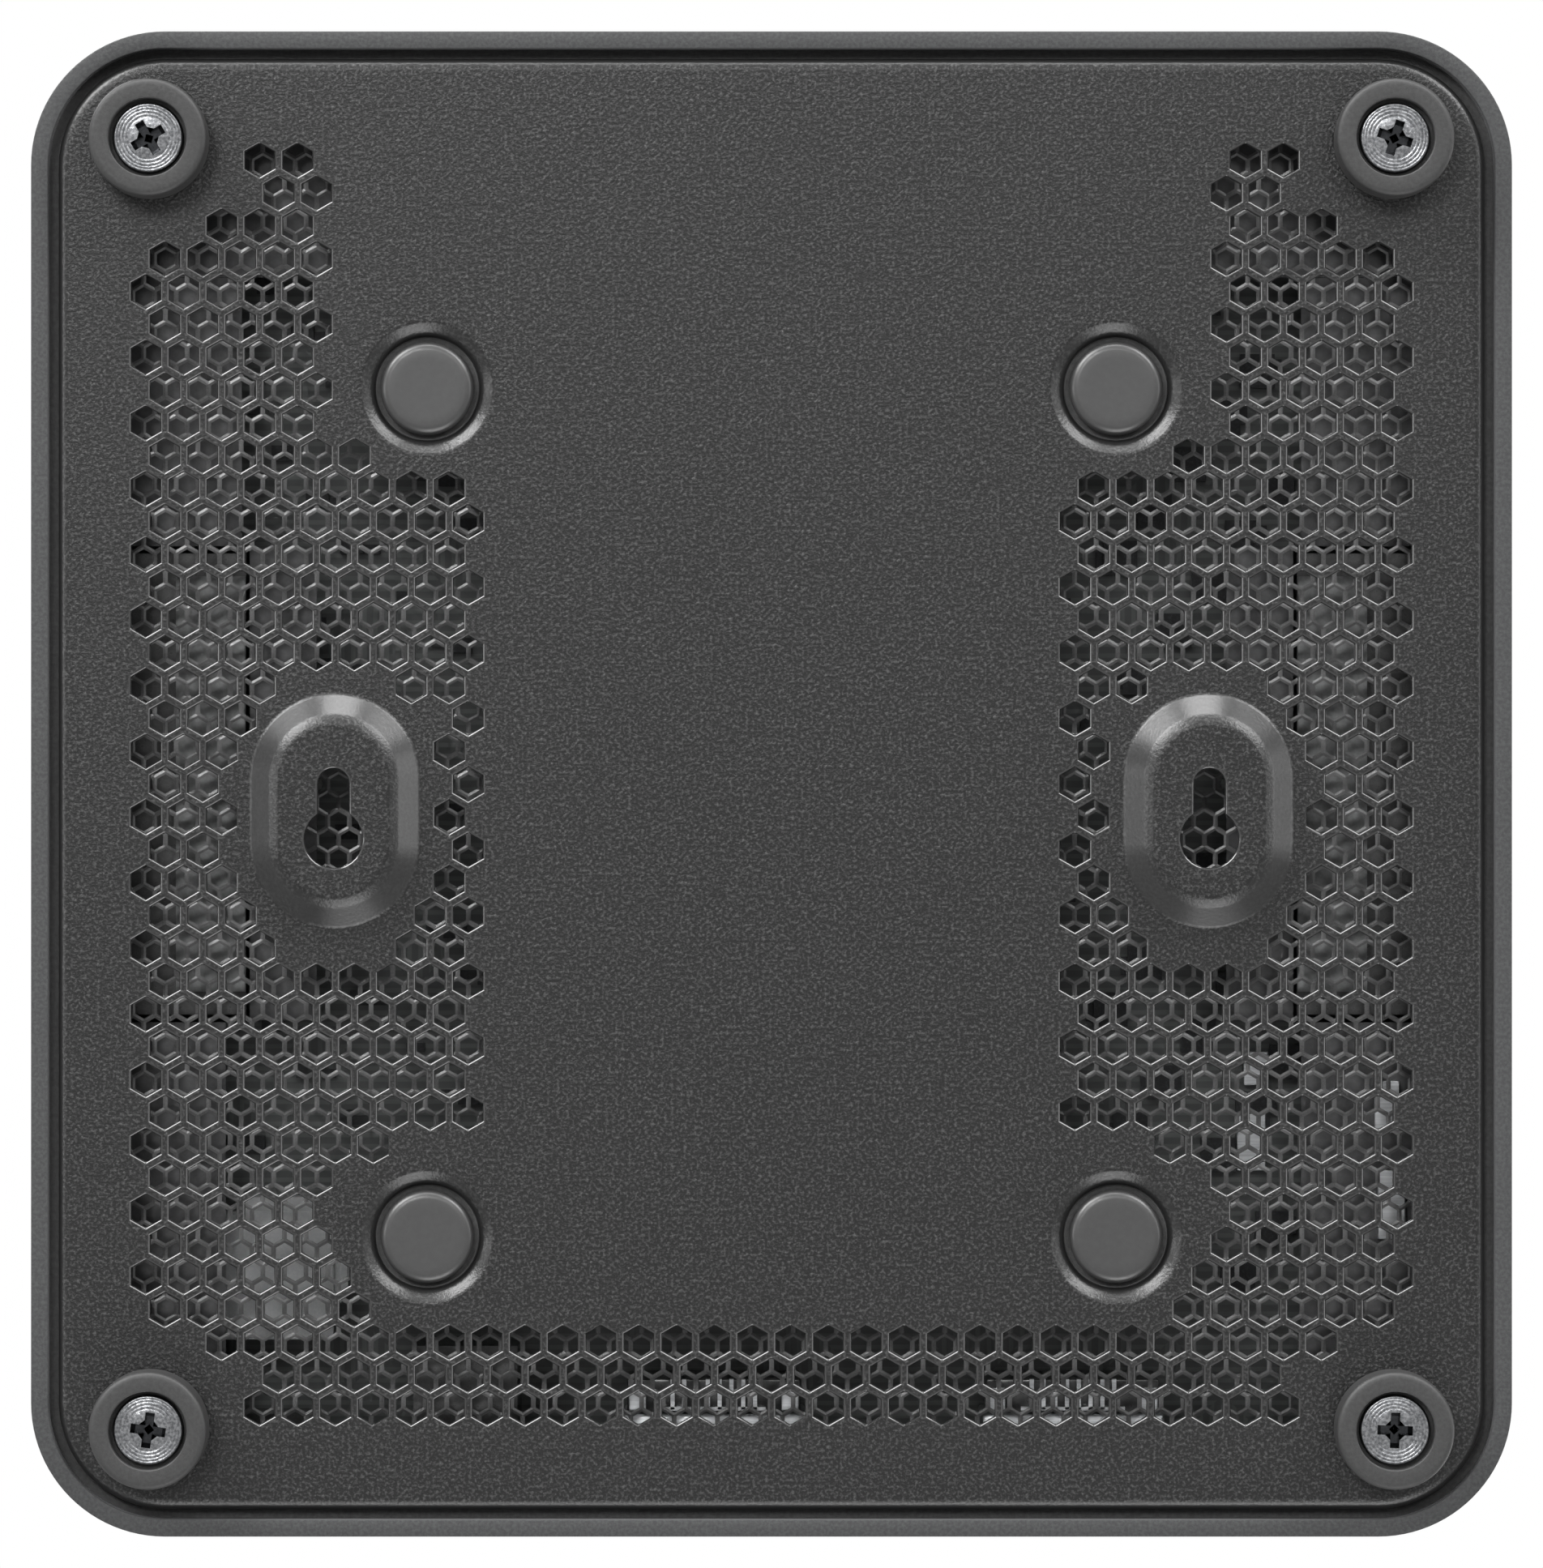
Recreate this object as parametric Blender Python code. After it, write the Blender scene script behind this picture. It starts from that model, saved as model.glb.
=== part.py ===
"""Mesh wifi node: a rounded square case on four rubber feet, with a perforated base and its ports behind.

Metres, +Z up. The origin is on the desk under the middle of the case. The front faces -Y, the ports and
the buttons face +Y, and left is -X. Each object is one physical piece. Sizes that belong to one piece are
named here once, and places are worked out from them.
"""

import math

import bmesh
import bpy
from mathutils import Matrix, Vector
from mathutils.geometry import interpolate_bezier

# Clearances
SEAT_GAP = 0.0003  # between two faces that meet
HOLE_GAP = 0.0003  # all round a piece that passes through a hole

# Case
CASE_WIDTH = 0.1272
CASE_DEPTH = 0.1293
CASE_CORNER_RADIUS = 0.0115
CASE_WALL = 0.0015
CASE_TOP_THICKNESS = 0.0020
CASE_TOP_ROUNDING = 0.0030
CASE_AIR_GAP = 0.0030  # over the heat sink's fins
EXHAUST_COUNT = 13
EXHAUST_PITCH = 0.0060
EXHAUST_WIDTH = 0.0022
EXHAUST_HEIGHT = 0.0080
EXHAUST_TOP_MARGIN = 0.0060  # from the top of the case

# Base plate, a pressed sheet with a folded edge
PLATE_GROOVE = 0.0008  # between the case wall and the plate
PLATE_THICKNESS = 0.0008
PLATE_BEND_RADIUS = 0.0003  # inside the fold
PLATE_LIP_HEIGHT = 0.0035

# Vent cells, hexagons with a point to the front
VENT_PITCH = 0.0065
VENT_WEB = 0.0008
VENT_SIDE_MARGIN = 0.0082  # from the case sides to the nearest cell
VENT_END_MARGIN = 0.0095  # from the front and the back of the case
VENT_MIDDLE_BLANK = 0.0488  # width of the blank strip down the middle
VENT_FRONT_BLANK = 0.0748  # width of the blank between the front cells
VENT_REAR_BAND = 0.0090  # depth of the band across the back
VENT_FOOT_LAND = 0.0024
VENT_DIMPLE_LAND = 0.0009
VENT_PAD_LAND = 0.0006

# Keyholes for hanging the node on two screws, each in a raised pad
KEYHOLE_SPACING = 0.0750
KEYHOLE_HEAD_DIAMETER = 0.0050
KEYHOLE_HEAD_Y = 0.0047
KEYHOLE_SLOT_WIDTH = 0.0027
KEYHOLE_SLOT_TRAVEL = 0.0047  # from the round hole to the slot's end
PAD_CENTRE_Y = 0.0023
PAD_TOP_WIDTH = 0.0099
PAD_TOP_LENGTH = 0.0148
PAD_SLOPE = 0.0024
PAD_RISE = 0.0013

# Feet and the screws inside them
FOOT_SIDE_INSET = 0.0103
FOOT_END_INSET = 0.0094
FOOT_DIAMETER = 0.0101
FOOT_HEIGHT = 0.0036
FOOT_BORE = 0.0070
FOOT_FLOOR = 0.0008
FOOT_ROUNDING = 0.0005
BASE_SCREW_DIAMETER = 0.0030
BASE_SCREW_HEAD = 0.0060
BASE_SCREW_HEAD_HEIGHT = 0.0017
BASE_SCREW_LENGTH = 0.0100
BASE_POST_WALL = 0.0017

# Dimples with their rubber plugs, under the board screws
DIMPLE_SPACING = 0.0592
DIMPLE_FRONT_Y = -0.0340
DIMPLE_REAR_Y = 0.0389
DIMPLE_DIAMETER = 0.0117
DIMPLE_FLOOR_DIAMETER = 0.0094
DIMPLE_DEPTH = 0.0013
PLUG_DIAMETER = 0.0080
PLUG_SINK = 0.0001  # face of the plug behind the plate
PLUG_ROUNDING = 0.0004
PLUG_STEM_DIAMETER = 0.0036
PLUG_BARB = 0.0006
PLUG_BARB_HEIGHT = 0.0010

# Inner screen, a second sheet behind the vents
SCREEN_RISE = 0.0030  # over the plate
SCREEN_THICKNESS = 0.0004
SCREEN_LIP_CLEARANCE = 0.0010  # inside the plate's folded edge
SCREEN_POST_CLEARANCE = 0.0010

# Main board
BOARD_THICKNESS = 0.0016
BOARD_POST_CLEARANCE = 0.0018
BOARD_FRONT_MARGIN = 0.0120  # in front of the front screws
BOARD_BUTTON_CLEARANCE = 0.0009  # behind the pressed button
BOARD_ANTENNA_CLEARANCE = 0.0025
BOARD_SCREW_DIAMETER = 0.0026
BOARD_SCREW_HEAD = 0.0052
BOARD_SCREW_HEAD_HEIGHT = 0.0016
BOARD_SCREW_LENGTH = 0.0080
BOARD_POST_WALL = 0.0014

# Network jacks under the board
JACK_LEFT_X = -0.0050
JACK_SPACING = 0.0311
JACK_WIDTH = 0.0158
JACK_HEIGHT = 0.0115
JACK_DEPTH = 0.0128
JACK_FACE_SINK = 0.0005  # behind the back of the case
JACK_SCREEN_GAP = 0.0006
SOCKET_WIDTH = 0.0119
SOCKET_HEIGHT = 0.0082
SOCKET_DEPTH = 0.0112
SOCKET_LATCH_WIDTH = 0.0062
SOCKET_LATCH_HEIGHT = 0.0013

# Power jack
POWER_X = -0.0265
POWER_WIDTH = 0.0090
POWER_HEIGHT = 0.0110
POWER_DEPTH = 0.0142
POWER_BARREL = 0.0064
POWER_BARREL_DEPTH = 0.0095
POWER_PIN = 0.0020
POWER_HOLE_MARGIN = 0.0006  # of the case hole, round the barrel

# Sync button, and the switches behind it and behind the reset hole
SYNC_POST_CLEARANCE = 0.0038  # from its switch to the rear left post
SYNC_CAP_DIAMETER = 0.0060
SYNC_FACE_SINK = 0.0003
SYNC_FLANGE = 0.0008  # step and thickness of the flange behind the wall
SYNC_STEM_DIAMETER = 0.0030
SYNC_STEM_LENGTH = 0.0020
SYNC_TRAVEL = 0.0006
RESET_HOLE_DIAMETER = 0.0018
RESET_FACE_DEPTH = 0.0025  # plunger's face behind the wall
RESET_TRAVEL = 0.0004
SWITCH_SIDE = 0.0060
SWITCH_DEPTH = 0.0036
PLUNGER_DIAMETER = 0.0032
PLUNGER_REACH = 0.0012  # out of the switch
PLUNGER_SEAT = 0.0010  # inside the switch

# Processor, memory, pad and heat sink on the board
PROCESSOR_SIDE = 0.0210
CHIP_HEIGHT = 0.0014
MEMORY_WIDTH = 0.0130
MEMORY_DEPTH = 0.0090
MEMORY_GAP = 0.0040
THERMAL_PAD_THICKNESS = 0.0010
SINK_POST_CLEARANCE = 0.0035
SINK_DEPTH = 0.0600
SINK_BASE = 0.0028
SINK_FIN_COUNT = 8
SINK_FIN_THICKNESS = 0.0014
SINK_FIN_HEIGHT = 0.0092
SINK_SCREW_INSET = 0.0050
SINK_SCREW_DIAMETER = 0.0025
SINK_SCREW_HEAD = 0.0045
SINK_SCREW_HEAD_HEIGHT = 0.0015
SINK_SCREW_ENGAGEMENT = 0.0020

# Radio shields, choke and capacitors
SHIELD_WIDTH = 0.0190
SHIELD_LENGTH = 0.0300
SHIELD_HEIGHT = 0.0024
SHIELD_GAP = 0.0050
SHIELD_SCREW_CLEARANCE = 0.00275  # behind the heat sink's front screw
CHOKE_WIDTH = 0.0102
CHOKE_HEIGHT = 0.0052
CHOKE_Y = 0.0412
CHOKE_CHAMFER = 0.0016
CHOKE_SCREW_CLEARANCE = 0.0048  # from the board screw's head
CAPACITOR_DIAMETER = 0.0080
CAPACITOR_HEIGHT = 0.0105
CAPACITOR_SPACING = 0.0800
CAPACITOR_Y = 0.0460
CAPACITOR_ROUNDING = 0.0006

# Antennas, their holders and their leads
ANTENNA_WIDTH = 0.0060
ANTENNA_LENGTH = 0.0360
ANTENNA_THICKNESS = 0.0008
ANTENNA_WALL_DISTANCE = 0.0135
ANTENNA_SCREEN_GAP = 0.0016
HOLDER_WALL = 0.0016
HOLDER_HEIGHT = 0.0100
HOLDER_MARGIN = 0.0020
FRONT_ANTENNA_LENGTH = 0.0320
FRONT_ANTENNA_HEIGHT = 0.0120
FRONT_ANTENNA_SPACING = 0.0620
LEAD_DIAMETER = 0.0012
LEAD_STRAIGHT = 0.0060  # how far a lead heads straight off from its ends
LEAD_SOLDER_INSET = 0.0030  # from the board's edge
LEAD_POINTS = 11

# Status light
LED_WIDTH = 0.0032
LED_DEPTH = 0.0016
LED_HEIGHT = 0.0012
LED_EDGE = 0.0008  # from the board's front edge
PIPE_WIDTH = 0.0080
PIPE_HEIGHT = 0.0020
PIPE_SINK = 0.0002
PIPE_COLLAR = 0.0012

# Screw recesses
RECESS_SHARE = 0.54  # cross recess across the head
RECESS_WIDTH_SHARE = 0.16
RECESS_DEPTH_SHARE = 0.55

# Facets
CORNER_STEPS = 8
ROUND_STEPS = 20
SMALL_STEPS = 14
EDGE_STEPS = 3
SMOOTH_ANGLE = math.radians(40)
WELD = 1e-6

# Places worked out from the sizes above
HALF_WIDTH = CASE_WIDTH / 2
HALF_DEPTH = CASE_DEPTH / 2
INNER_HALF_WIDTH = HALF_WIDTH - CASE_WALL
INNER_HALF_DEPTH = HALF_DEPTH - CASE_WALL
FOOT_X = HALF_WIDTH - FOOT_SIDE_INSET
FOOT_Y = HALF_DEPTH - FOOT_END_INSET
DIMPLE_X = DIMPLE_SPACING / 2
BASE_HOLE = BASE_SCREW_DIAMETER + 2 * HOLE_GAP
BASE_POST = BASE_HOLE + 2 * BASE_POST_WALL
BOARD_HOLE = BOARD_SCREW_DIAMETER + 2 * HOLE_GAP
BOARD_POST = BOARD_HOLE + 2 * BOARD_POST_WALL
PLUG_HOLE = PLUG_STEM_DIAMETER + 2 * HOLE_GAP
PLUG_BARB_DIAMETER = PLUG_HOLE + 2 * PLUG_BARB

PLATE_Z = FOOT_HEIGHT + SEAT_GAP
PLATE_TOP_Z = PLATE_Z + PLATE_THICKNESS
PLATE_EDGE_ROUNDING = PLATE_BEND_RADIUS + PLATE_THICKNESS
PLATE_WIDTH = 2 * (INNER_HALF_WIDTH - PLATE_GROOVE)
PLATE_DEPTH = 2 * (INNER_HALF_DEPTH - PLATE_GROOVE)
PLATE_CORNER_RADIUS = CASE_CORNER_RADIUS - CASE_WALL - PLATE_GROOVE
PAD_WIDTH = PAD_TOP_WIDTH + 2 * PAD_SLOPE
PAD_LENGTH = PAD_TOP_LENGTH + 2 * PAD_SLOPE

SCREEN_TOP_Z = PLATE_TOP_Z + SCREEN_RISE + SCREEN_THICKNESS
SCREEN_HALF_WIDTH = PLATE_WIDTH / 2 - PLATE_THICKNESS - SCREEN_LIP_CLEARANCE
SCREEN_HALF_DEPTH = PLATE_DEPTH / 2 - PLATE_THICKNESS - SCREEN_LIP_CLEARANCE
JACK_Z = SCREEN_TOP_Z + JACK_SCREEN_GAP
BOARD_Z = JACK_Z + JACK_HEIGHT + SEAT_GAP
BOARD_TOP_Z = BOARD_Z + BOARD_THICKNESS
BOARD_HALF_WIDTH = FOOT_X - BASE_POST / 2 - BOARD_POST_CLEARANCE
BOARD_FRONT_Y = DIMPLE_FRONT_Y - BOARD_FRONT_MARGIN
BOARD_REAR_Y = INNER_HALF_DEPTH - SEAT_GAP - SYNC_FLANGE - SYNC_TRAVEL - BOARD_BUTTON_CLEARANCE
UNDER_BOARD_Z = BOARD_Z - SEAT_GAP
OVER_BOARD_Z = BOARD_TOP_Z + SEAT_GAP
THERMAL_PAD_Z = OVER_BOARD_Z + CHIP_HEIGHT + SEAT_GAP
SINK_Z = THERMAL_PAD_Z + THERMAL_PAD_THICKNESS + SEAT_GAP
SINK_WIDTH = 2 * (DIMPLE_X - BOARD_POST / 2 - SINK_POST_CLEARANCE)
SINK_SCREW_Y = SINK_DEPTH / 2 - SINK_SCREW_INSET
SHIELD_FRONT_Y = SINK_SCREW_DIAMETER / 2 + SHIELD_SCREW_CLEARANCE - SINK_SCREW_Y
SHIELD_Y = SHIELD_FRONT_Y + SHIELD_LENGTH / 2
CHOKE_X = -(DIMPLE_X + BOARD_SCREW_HEAD / 2 + CHOKE_SCREW_CLEARANCE + CHOKE_WIDTH / 2)
CEILING_Z = SINK_Z + SINK_BASE + SINK_FIN_HEIGHT + CASE_AIR_GAP
CASE_TOP_Z = CEILING_Z + CASE_TOP_THICKNESS
SWITCH_Z = UNDER_BOARD_Z - SWITCH_SIDE / 2
SYNC_X = SYNC_POST_CLEARANCE + SWITCH_SIDE / 2 + BASE_POST / 2 - FOOT_X
RESET_X = JACK_LEFT_X + JACK_SPACING / 2
POWER_Z = UNDER_BOARD_Z - POWER_HEIGHT / 2
ANTENNA_X = INNER_HALF_WIDTH - ANTENNA_WALL_DISTANCE
ANTENNA_INNER_X = ANTENNA_X - ANTENNA_WIDTH / 2
ANTENNA_Z = SCREEN_TOP_Z + ANTENNA_SCREEN_GAP
LED_Y = BOARD_FRONT_Y + LED_EDGE + LED_DEPTH / 2
PIPE_Z = OVER_BOARD_Z + LED_HEIGHT / 2
FRONT_ANTENNA_REAR_Y = SEAT_GAP + ANTENNA_THICKNESS - INNER_HALF_DEPTH

SIDES = {"left": -1, "right": 1}
CORNERS = {
    "front_left": (-1, -1),
    "front_right": (1, -1),
    "rear_left": (-1, 1),
    "rear_right": (1, 1),
}
# Turns a shape drawn flat so that its Y becomes Z, and its extrusion runs to the front from the back
FACING_BACK = Matrix.Rotation(math.pi / 2, 4, "X")


def clear_scene():
    for obj in list(bpy.data.objects):
        bpy.data.objects.remove(obj, do_unlink=True)


def finish(name, colour, roughness, metallic=0.0):
    material = bpy.data.materials.new(name)
    material.use_nodes = True
    shader = material.node_tree.nodes["Principled BSDF"]
    shader.inputs["Base Color"].default_value = (*colour, 1.0)
    shader.inputs["Roughness"].default_value = roughness
    shader.inputs["Metallic"].default_value = metallic
    return material


def place(name, mesh, location=(0, 0, 0)):
    obj = bpy.data.objects.new(name, mesh)
    obj.location = location
    bpy.context.scene.collection.objects.link(obj)
    return obj


def mesh_of(name, bm, material=None, matrix=None):
    """The closed bmesh as a smooth shaded mesh, turned by matrix."""
    bmesh.ops.recalc_face_normals(bm, faces=bm.faces)
    return skin_of(name, bm, material, matrix)


def skin_of(name, bm, material=None, matrix=None):
    """The bmesh as a mesh with its faces as they point."""
    if matrix:
        bm.transform(matrix)
    mesh = bpy.data.meshes.new(name)
    bm.to_mesh(mesh)
    bm.free()
    if material:
        mesh.materials.append(material)
    mesh.shade_smooth()
    mesh.set_sharp_from_angle(angle=SMOOTH_ANGLE)
    return mesh


def boolean(target, tool_mesh, operation):
    tool = place(f"{tool_mesh.name}_tool", tool_mesh)
    tool.hide_render = True
    tool.display_type = "WIRE"
    modifier = target.modifiers.new(operation.title(), "BOOLEAN")
    modifier.operation = operation
    modifier.object = tool


def arc(centre, radius, start, end, steps):
    angles = [start + (end - start) * i / steps for i in range(steps + 1)]
    return [(centre[0] + radius * math.cos(a), centre[1] + radius * math.sin(a)) for a in angles]


def circle(centre, diameter, steps):
    return arc(centre, diameter / 2, 0, 2 * math.pi, steps)[:-1]


def rectangle(width, height, centre=(0, 0)):
    x, y = centre
    corners = ((1, 1), (-1, 1), (-1, -1), (1, -1))
    return [(x + i * width / 2, y + j * height / 2) for i, j in corners]


def rounded_rectangle(width, depth, radius):
    points = []
    for quarter, (i, j) in enumerate(((1, 1), (-1, 1), (-1, -1), (1, -1))):
        centre = (i * (width / 2 - radius), j * (depth / 2 - radius))
        start = quarter * math.pi / 2
        points += arc(centre, radius, start, start + math.pi / 2, CORNER_STEPS)
    return points


def notched_rectangle(half_width, half_depth, notch_x, notch_y):
    """A rectangle whose corners are cut back to notch_x, notch_y from its middle."""
    points = []
    for i, j in ((1, 1), (-1, 1), (-1, -1), (1, -1)):
        corner = [
            (i * half_width, j * notch_y),
            (i * notch_x, j * notch_y),
            (i * notch_x, j * half_depth),
        ]
        points += corner if i * j > 0 else corner[::-1]
    return points


def obround(centre, width, length):
    x, y = centre
    reach = (length - width) / 2
    rear = arc((x, y + reach), width / 2, 0, math.pi, CORNER_STEPS)
    front = arc((x, y - reach), width / 2, math.pi, 2 * math.pi, CORNER_STEPS)
    return rear + front


def hexagon(centre, across_flats):
    radius = across_flats / math.sqrt(3)
    return arc(centre, radius, math.pi / 6, math.pi / 6 + 2 * math.pi, 6)[:-1]


def keyhole(x):
    """A round hole with a slot from it towards the front."""
    head_radius = KEYHOLE_HEAD_DIAMETER / 2
    slot_radius = KEYHOLE_SLOT_WIDTH / 2
    mouth = math.asin(slot_radius / head_radius)
    down = 1.5 * math.pi
    head = arc((x, KEYHOLE_HEAD_Y), head_radius, mouth - math.pi / 2, down - mouth, SMALL_STEPS)
    slot_end = (x, KEYHOLE_HEAD_Y - KEYHOLE_SLOT_TRAVEL)
    return head + arc(slot_end, slot_radius, math.pi, 2 * math.pi, CORNER_STEPS)


def edge_loop(bm, outline, z):
    verts = [bm.verts.new((x, y, z)) for x, y in outline]
    return [bm.edges.new((verts[i - 1], verts[i])) for i in range(len(verts))]


def fill(bm, *loops):
    """Flat faces inside the first loop and outside the others."""
    edges = [edge for loop in loops for edge in loop]
    bmesh.ops.triangle_fill(bm, edges=edges, use_beauty=True)


def bridge(bm, loops):
    """Faces between each loop and the next, point to point."""
    for first, second in zip(loops, loops[1:]):
        for near, far in zip(first, second):
            bm.faces.new((*near.verts, far.verts[1], far.verts[0]))


def prism(bm, outline, low, high, holes=()):
    """An outline with holes through it, from low to high."""
    walls = []
    for points in (outline, *holes):
        walls.append((edge_loop(bm, points, low), edge_loop(bm, points, high)))
        bridge(bm, walls[-1])
    for level in zip(*walls):
        fill(bm, *level)


def lofted(bm, sections):
    """A closed solid through (outline, height) sections with as many points each."""
    loops = [edge_loop(bm, outline, height) for outline, height in sections]
    bridge(bm, loops)
    fill(bm, loops[0])
    fill(bm, loops[-1])


def pocketed(bm, outline, depth, pocket, pocket_depth, core=None):
    """A block with a pocket in its face at height 0, and a pin of outline core in the pocket."""
    face, back = edge_loop(bm, outline, 0), edge_loop(bm, outline, depth)
    mouth, floor = edge_loop(bm, pocket, 0), edge_loop(bm, pocket, pocket_depth)
    bridge(bm, (face, back))
    bridge(bm, (mouth, floor))
    fill(bm, face, mouth)
    fill(bm, back)
    if not core:
        fill(bm, floor)
        return
    pin_root, pin_tip = edge_loop(bm, core, pocket_depth), edge_loop(bm, core, SEAT_GAP)
    fill(bm, floor, pin_root)
    bridge(bm, (pin_root, pin_tip))
    fill(bm, pin_tip)


def turned(bm, profile, steps, ring=False):
    """A profile of (radius, height) points turned about Z. A ring's profile closes on itself."""
    verts = [bm.verts.new((radius, 0, height)) for radius, height in profile]
    edges = [bm.edges.new(pair) for pair in zip(verts, verts[1:])]
    if ring:
        edges.append(bm.edges.new((verts[-1], verts[0])))
    bmesh.ops.spin(
        bm, geom=verts + edges, cent=(0, 0, 0), axis=(0, 0, 1), angle=2 * math.pi, steps=steps, use_merge=True
    )
    bmesh.ops.remove_doubles(bm, verts=bm.verts, dist=WELD)


def block_object(name, material, size, centre, low):
    """A plain block of size (x, y, z) that stands on height low."""
    bm = bmesh.new()
    prism(bm, rectangle(size[0], size[1]), 0, size[2])
    return place(name, mesh_of(name, bm, material), (*centre, low))


def screw_mesh(name, material, head, head_height, diameter, length):
    """A pan head screw with a cross recess, its head below height 0 and its shank above."""
    bm = bmesh.new()
    crown = head_height / 3
    sections = [
        (head - 2 * crown, -head_height),
        (head, crown - head_height),
        (head, 0),
        (diameter, 0),
        (diameter, length),
    ]
    loops = [edge_loop(bm, circle((0, 0), across, SMALL_STEPS), z) for across, z in sections]
    bridge(bm, loops)
    fill(bm, loops[-1])
    arm = RECESS_SHARE * head / 2
    half_width = RECESS_WIDTH_SHARE * head / 2
    cross = notched_rectangle(arm, arm, half_width, half_width)
    mouth = edge_loop(bm, cross, -head_height)
    floor = edge_loop(bm, cross, (RECESS_DEPTH_SHARE - 1) * head_height)
    fill(bm, loops[0], mouth)
    bridge(bm, (mouth, floor))
    fill(bm, floor)
    return mesh_of(name, bm, material)


def distance_to_pad(x, y):
    """Distance to the line through the middle of the nearer keyhole pad."""
    reach = (PAD_LENGTH - PAD_WIDTH) / 2
    along = max(abs(y - PAD_CENTRE_Y) - reach, 0)
    return math.hypot(abs(x) - KEYHOLE_SPACING / 2, along)


def vent_fits(x, y, reach):
    """Whether a vent cell that reaches this far from its centre stays in its field and off the features."""
    if abs(x) + reach > HALF_WIDTH - VENT_SIDE_MARGIN or abs(y) + reach > HALF_DEPTH - VENT_END_MARGIN:
        return False
    in_rear_band = y - reach > HALF_DEPTH - VENT_END_MARGIN - VENT_REAR_BAND
    blank = VENT_FRONT_BLANK if y < DIMPLE_FRONT_Y + DIMPLE_DIAMETER / 2 else VENT_MIDDLE_BLANK
    if not in_rear_band and abs(x) - reach < blank / 2:
        return False
    if math.hypot(abs(x) - FOOT_X, abs(y) - FOOT_Y) < FOOT_DIAMETER / 2 + VENT_FOOT_LAND + reach:
        return False
    to_dimple = min(math.hypot(abs(x) - DIMPLE_X, y - d) for d in (DIMPLE_FRONT_Y, DIMPLE_REAR_Y))
    if to_dimple < DIMPLE_DIAMETER / 2 + VENT_DIMPLE_LAND + reach:
        return False
    return distance_to_pad(x, y) > PAD_WIDTH / 2 + VENT_PAD_LAND + reach


def vent_cells():
    """Outlines of the vent cells, on a hexagonal grid about the middle of the plate."""
    across_flats = VENT_PITCH - VENT_WEB
    row_pitch = VENT_PITCH * math.sqrt(3) / 2
    rows = int(HALF_DEPTH / row_pitch)
    columns = int(HALF_WIDTH / VENT_PITCH) + 1
    cells = []
    for row in range(-rows, rows + 1):
        for column in range(-columns, columns + 1):
            centre = ((column + row % 2 / 2) * VENT_PITCH, row * row_pitch)
            if vent_fits(*centre, across_flats / math.sqrt(3)):
                cells.append(hexagon(centre, across_flats))
    return cells


def plate_fold(bm):
    """The plate's rounded edge and folded lip. Gives back the loop round its flat."""
    sections = []
    for step in range(EDGE_STEPS + 1):
        angle = math.pi / 2 * step / EDGE_STEPS
        inset = PLATE_EDGE_ROUNDING * (1 - math.sin(angle))
        sections.append((inset, PLATE_EDGE_ROUNDING * (1 - math.cos(angle))))
    sections.append((0, PLATE_LIP_HEIGHT))
    loops = []
    for inset, rise in sections:
        width, depth = PLATE_WIDTH - 2 * inset, PLATE_DEPTH - 2 * inset
        outline = rounded_rectangle(width, depth, PLATE_CORNER_RADIUS - inset)
        loops.append(edge_loop(bm, outline, PLATE_Z + rise))
    bridge(bm, loops)
    return loops[0]


def dimple_skin(bm, centre):
    """A dished recess with a hole for its plug. Gives back the loop round its rim."""
    floor_z = PLATE_Z + DIMPLE_DEPTH
    rim = edge_loop(bm, circle(centre, DIMPLE_DIAMETER, ROUND_STEPS), PLATE_Z)
    floor = edge_loop(bm, circle(centre, DIMPLE_FLOOR_DIAMETER, ROUND_STEPS), floor_z)
    hole = edge_loop(bm, circle(centre, PLUG_HOLE, ROUND_STEPS), floor_z)
    bridge(bm, (rim, floor, hole))
    return rim


def pad_skin(bm, x):
    """A raised pad with a keyhole. Gives back the loop round its foot."""
    centre = (x, PAD_CENTRE_Y)
    foot = edge_loop(bm, obround(centre, PAD_WIDTH, PAD_LENGTH), PLATE_Z)
    top = edge_loop(bm, obround(centre, PAD_TOP_WIDTH, PAD_TOP_LENGTH), PLATE_Z - PAD_RISE)
    hole = edge_loop(bm, keyhole(x), PLATE_Z - PAD_RISE)
    bridge(bm, (foot, top))
    fill(bm, top, hole)
    return foot


def thickened(name, bm, material, thickness, outward):
    """A sheet skin, given its thickness behind the side that faces outward."""
    bmesh.ops.recalc_face_normals(bm, faces=bm.faces)
    largest = max(bm.faces, key=lambda face: face.calc_area())
    if largest.normal.dot(outward) < 0:
        bmesh.ops.reverse_faces(bm, faces=bm.faces)
    sheet = place(name, skin_of(name, bm, material))
    solid = sheet.modifiers.new("Sheet thickness", "SOLIDIFY")
    solid.thickness = thickness
    solid.offset = -1
    solid.use_even_offset = True
    return sheet


def base_plate(material):
    bm = bmesh.new()
    loops = [plate_fold(bm)]
    for i, j in CORNERS.values():
        loops.append(edge_loop(bm, circle((i * FOOT_X, j * FOOT_Y), BASE_HOLE, SMALL_STEPS), PLATE_Z))
        loops.append(dimple_skin(bm, (i * DIMPLE_X, DIMPLE_FRONT_Y if j < 0 else DIMPLE_REAR_Y)))
    loops += [pad_skin(bm, side * KEYHOLE_SPACING / 2) for side in SIDES.values()]
    loops += [edge_loop(bm, cell, PLATE_Z) for cell in vent_cells()]
    fill(bm, *loops)
    thickened("base_plate", bm, material, PLATE_THICKNESS, Vector((0, 0, -1)))


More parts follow.
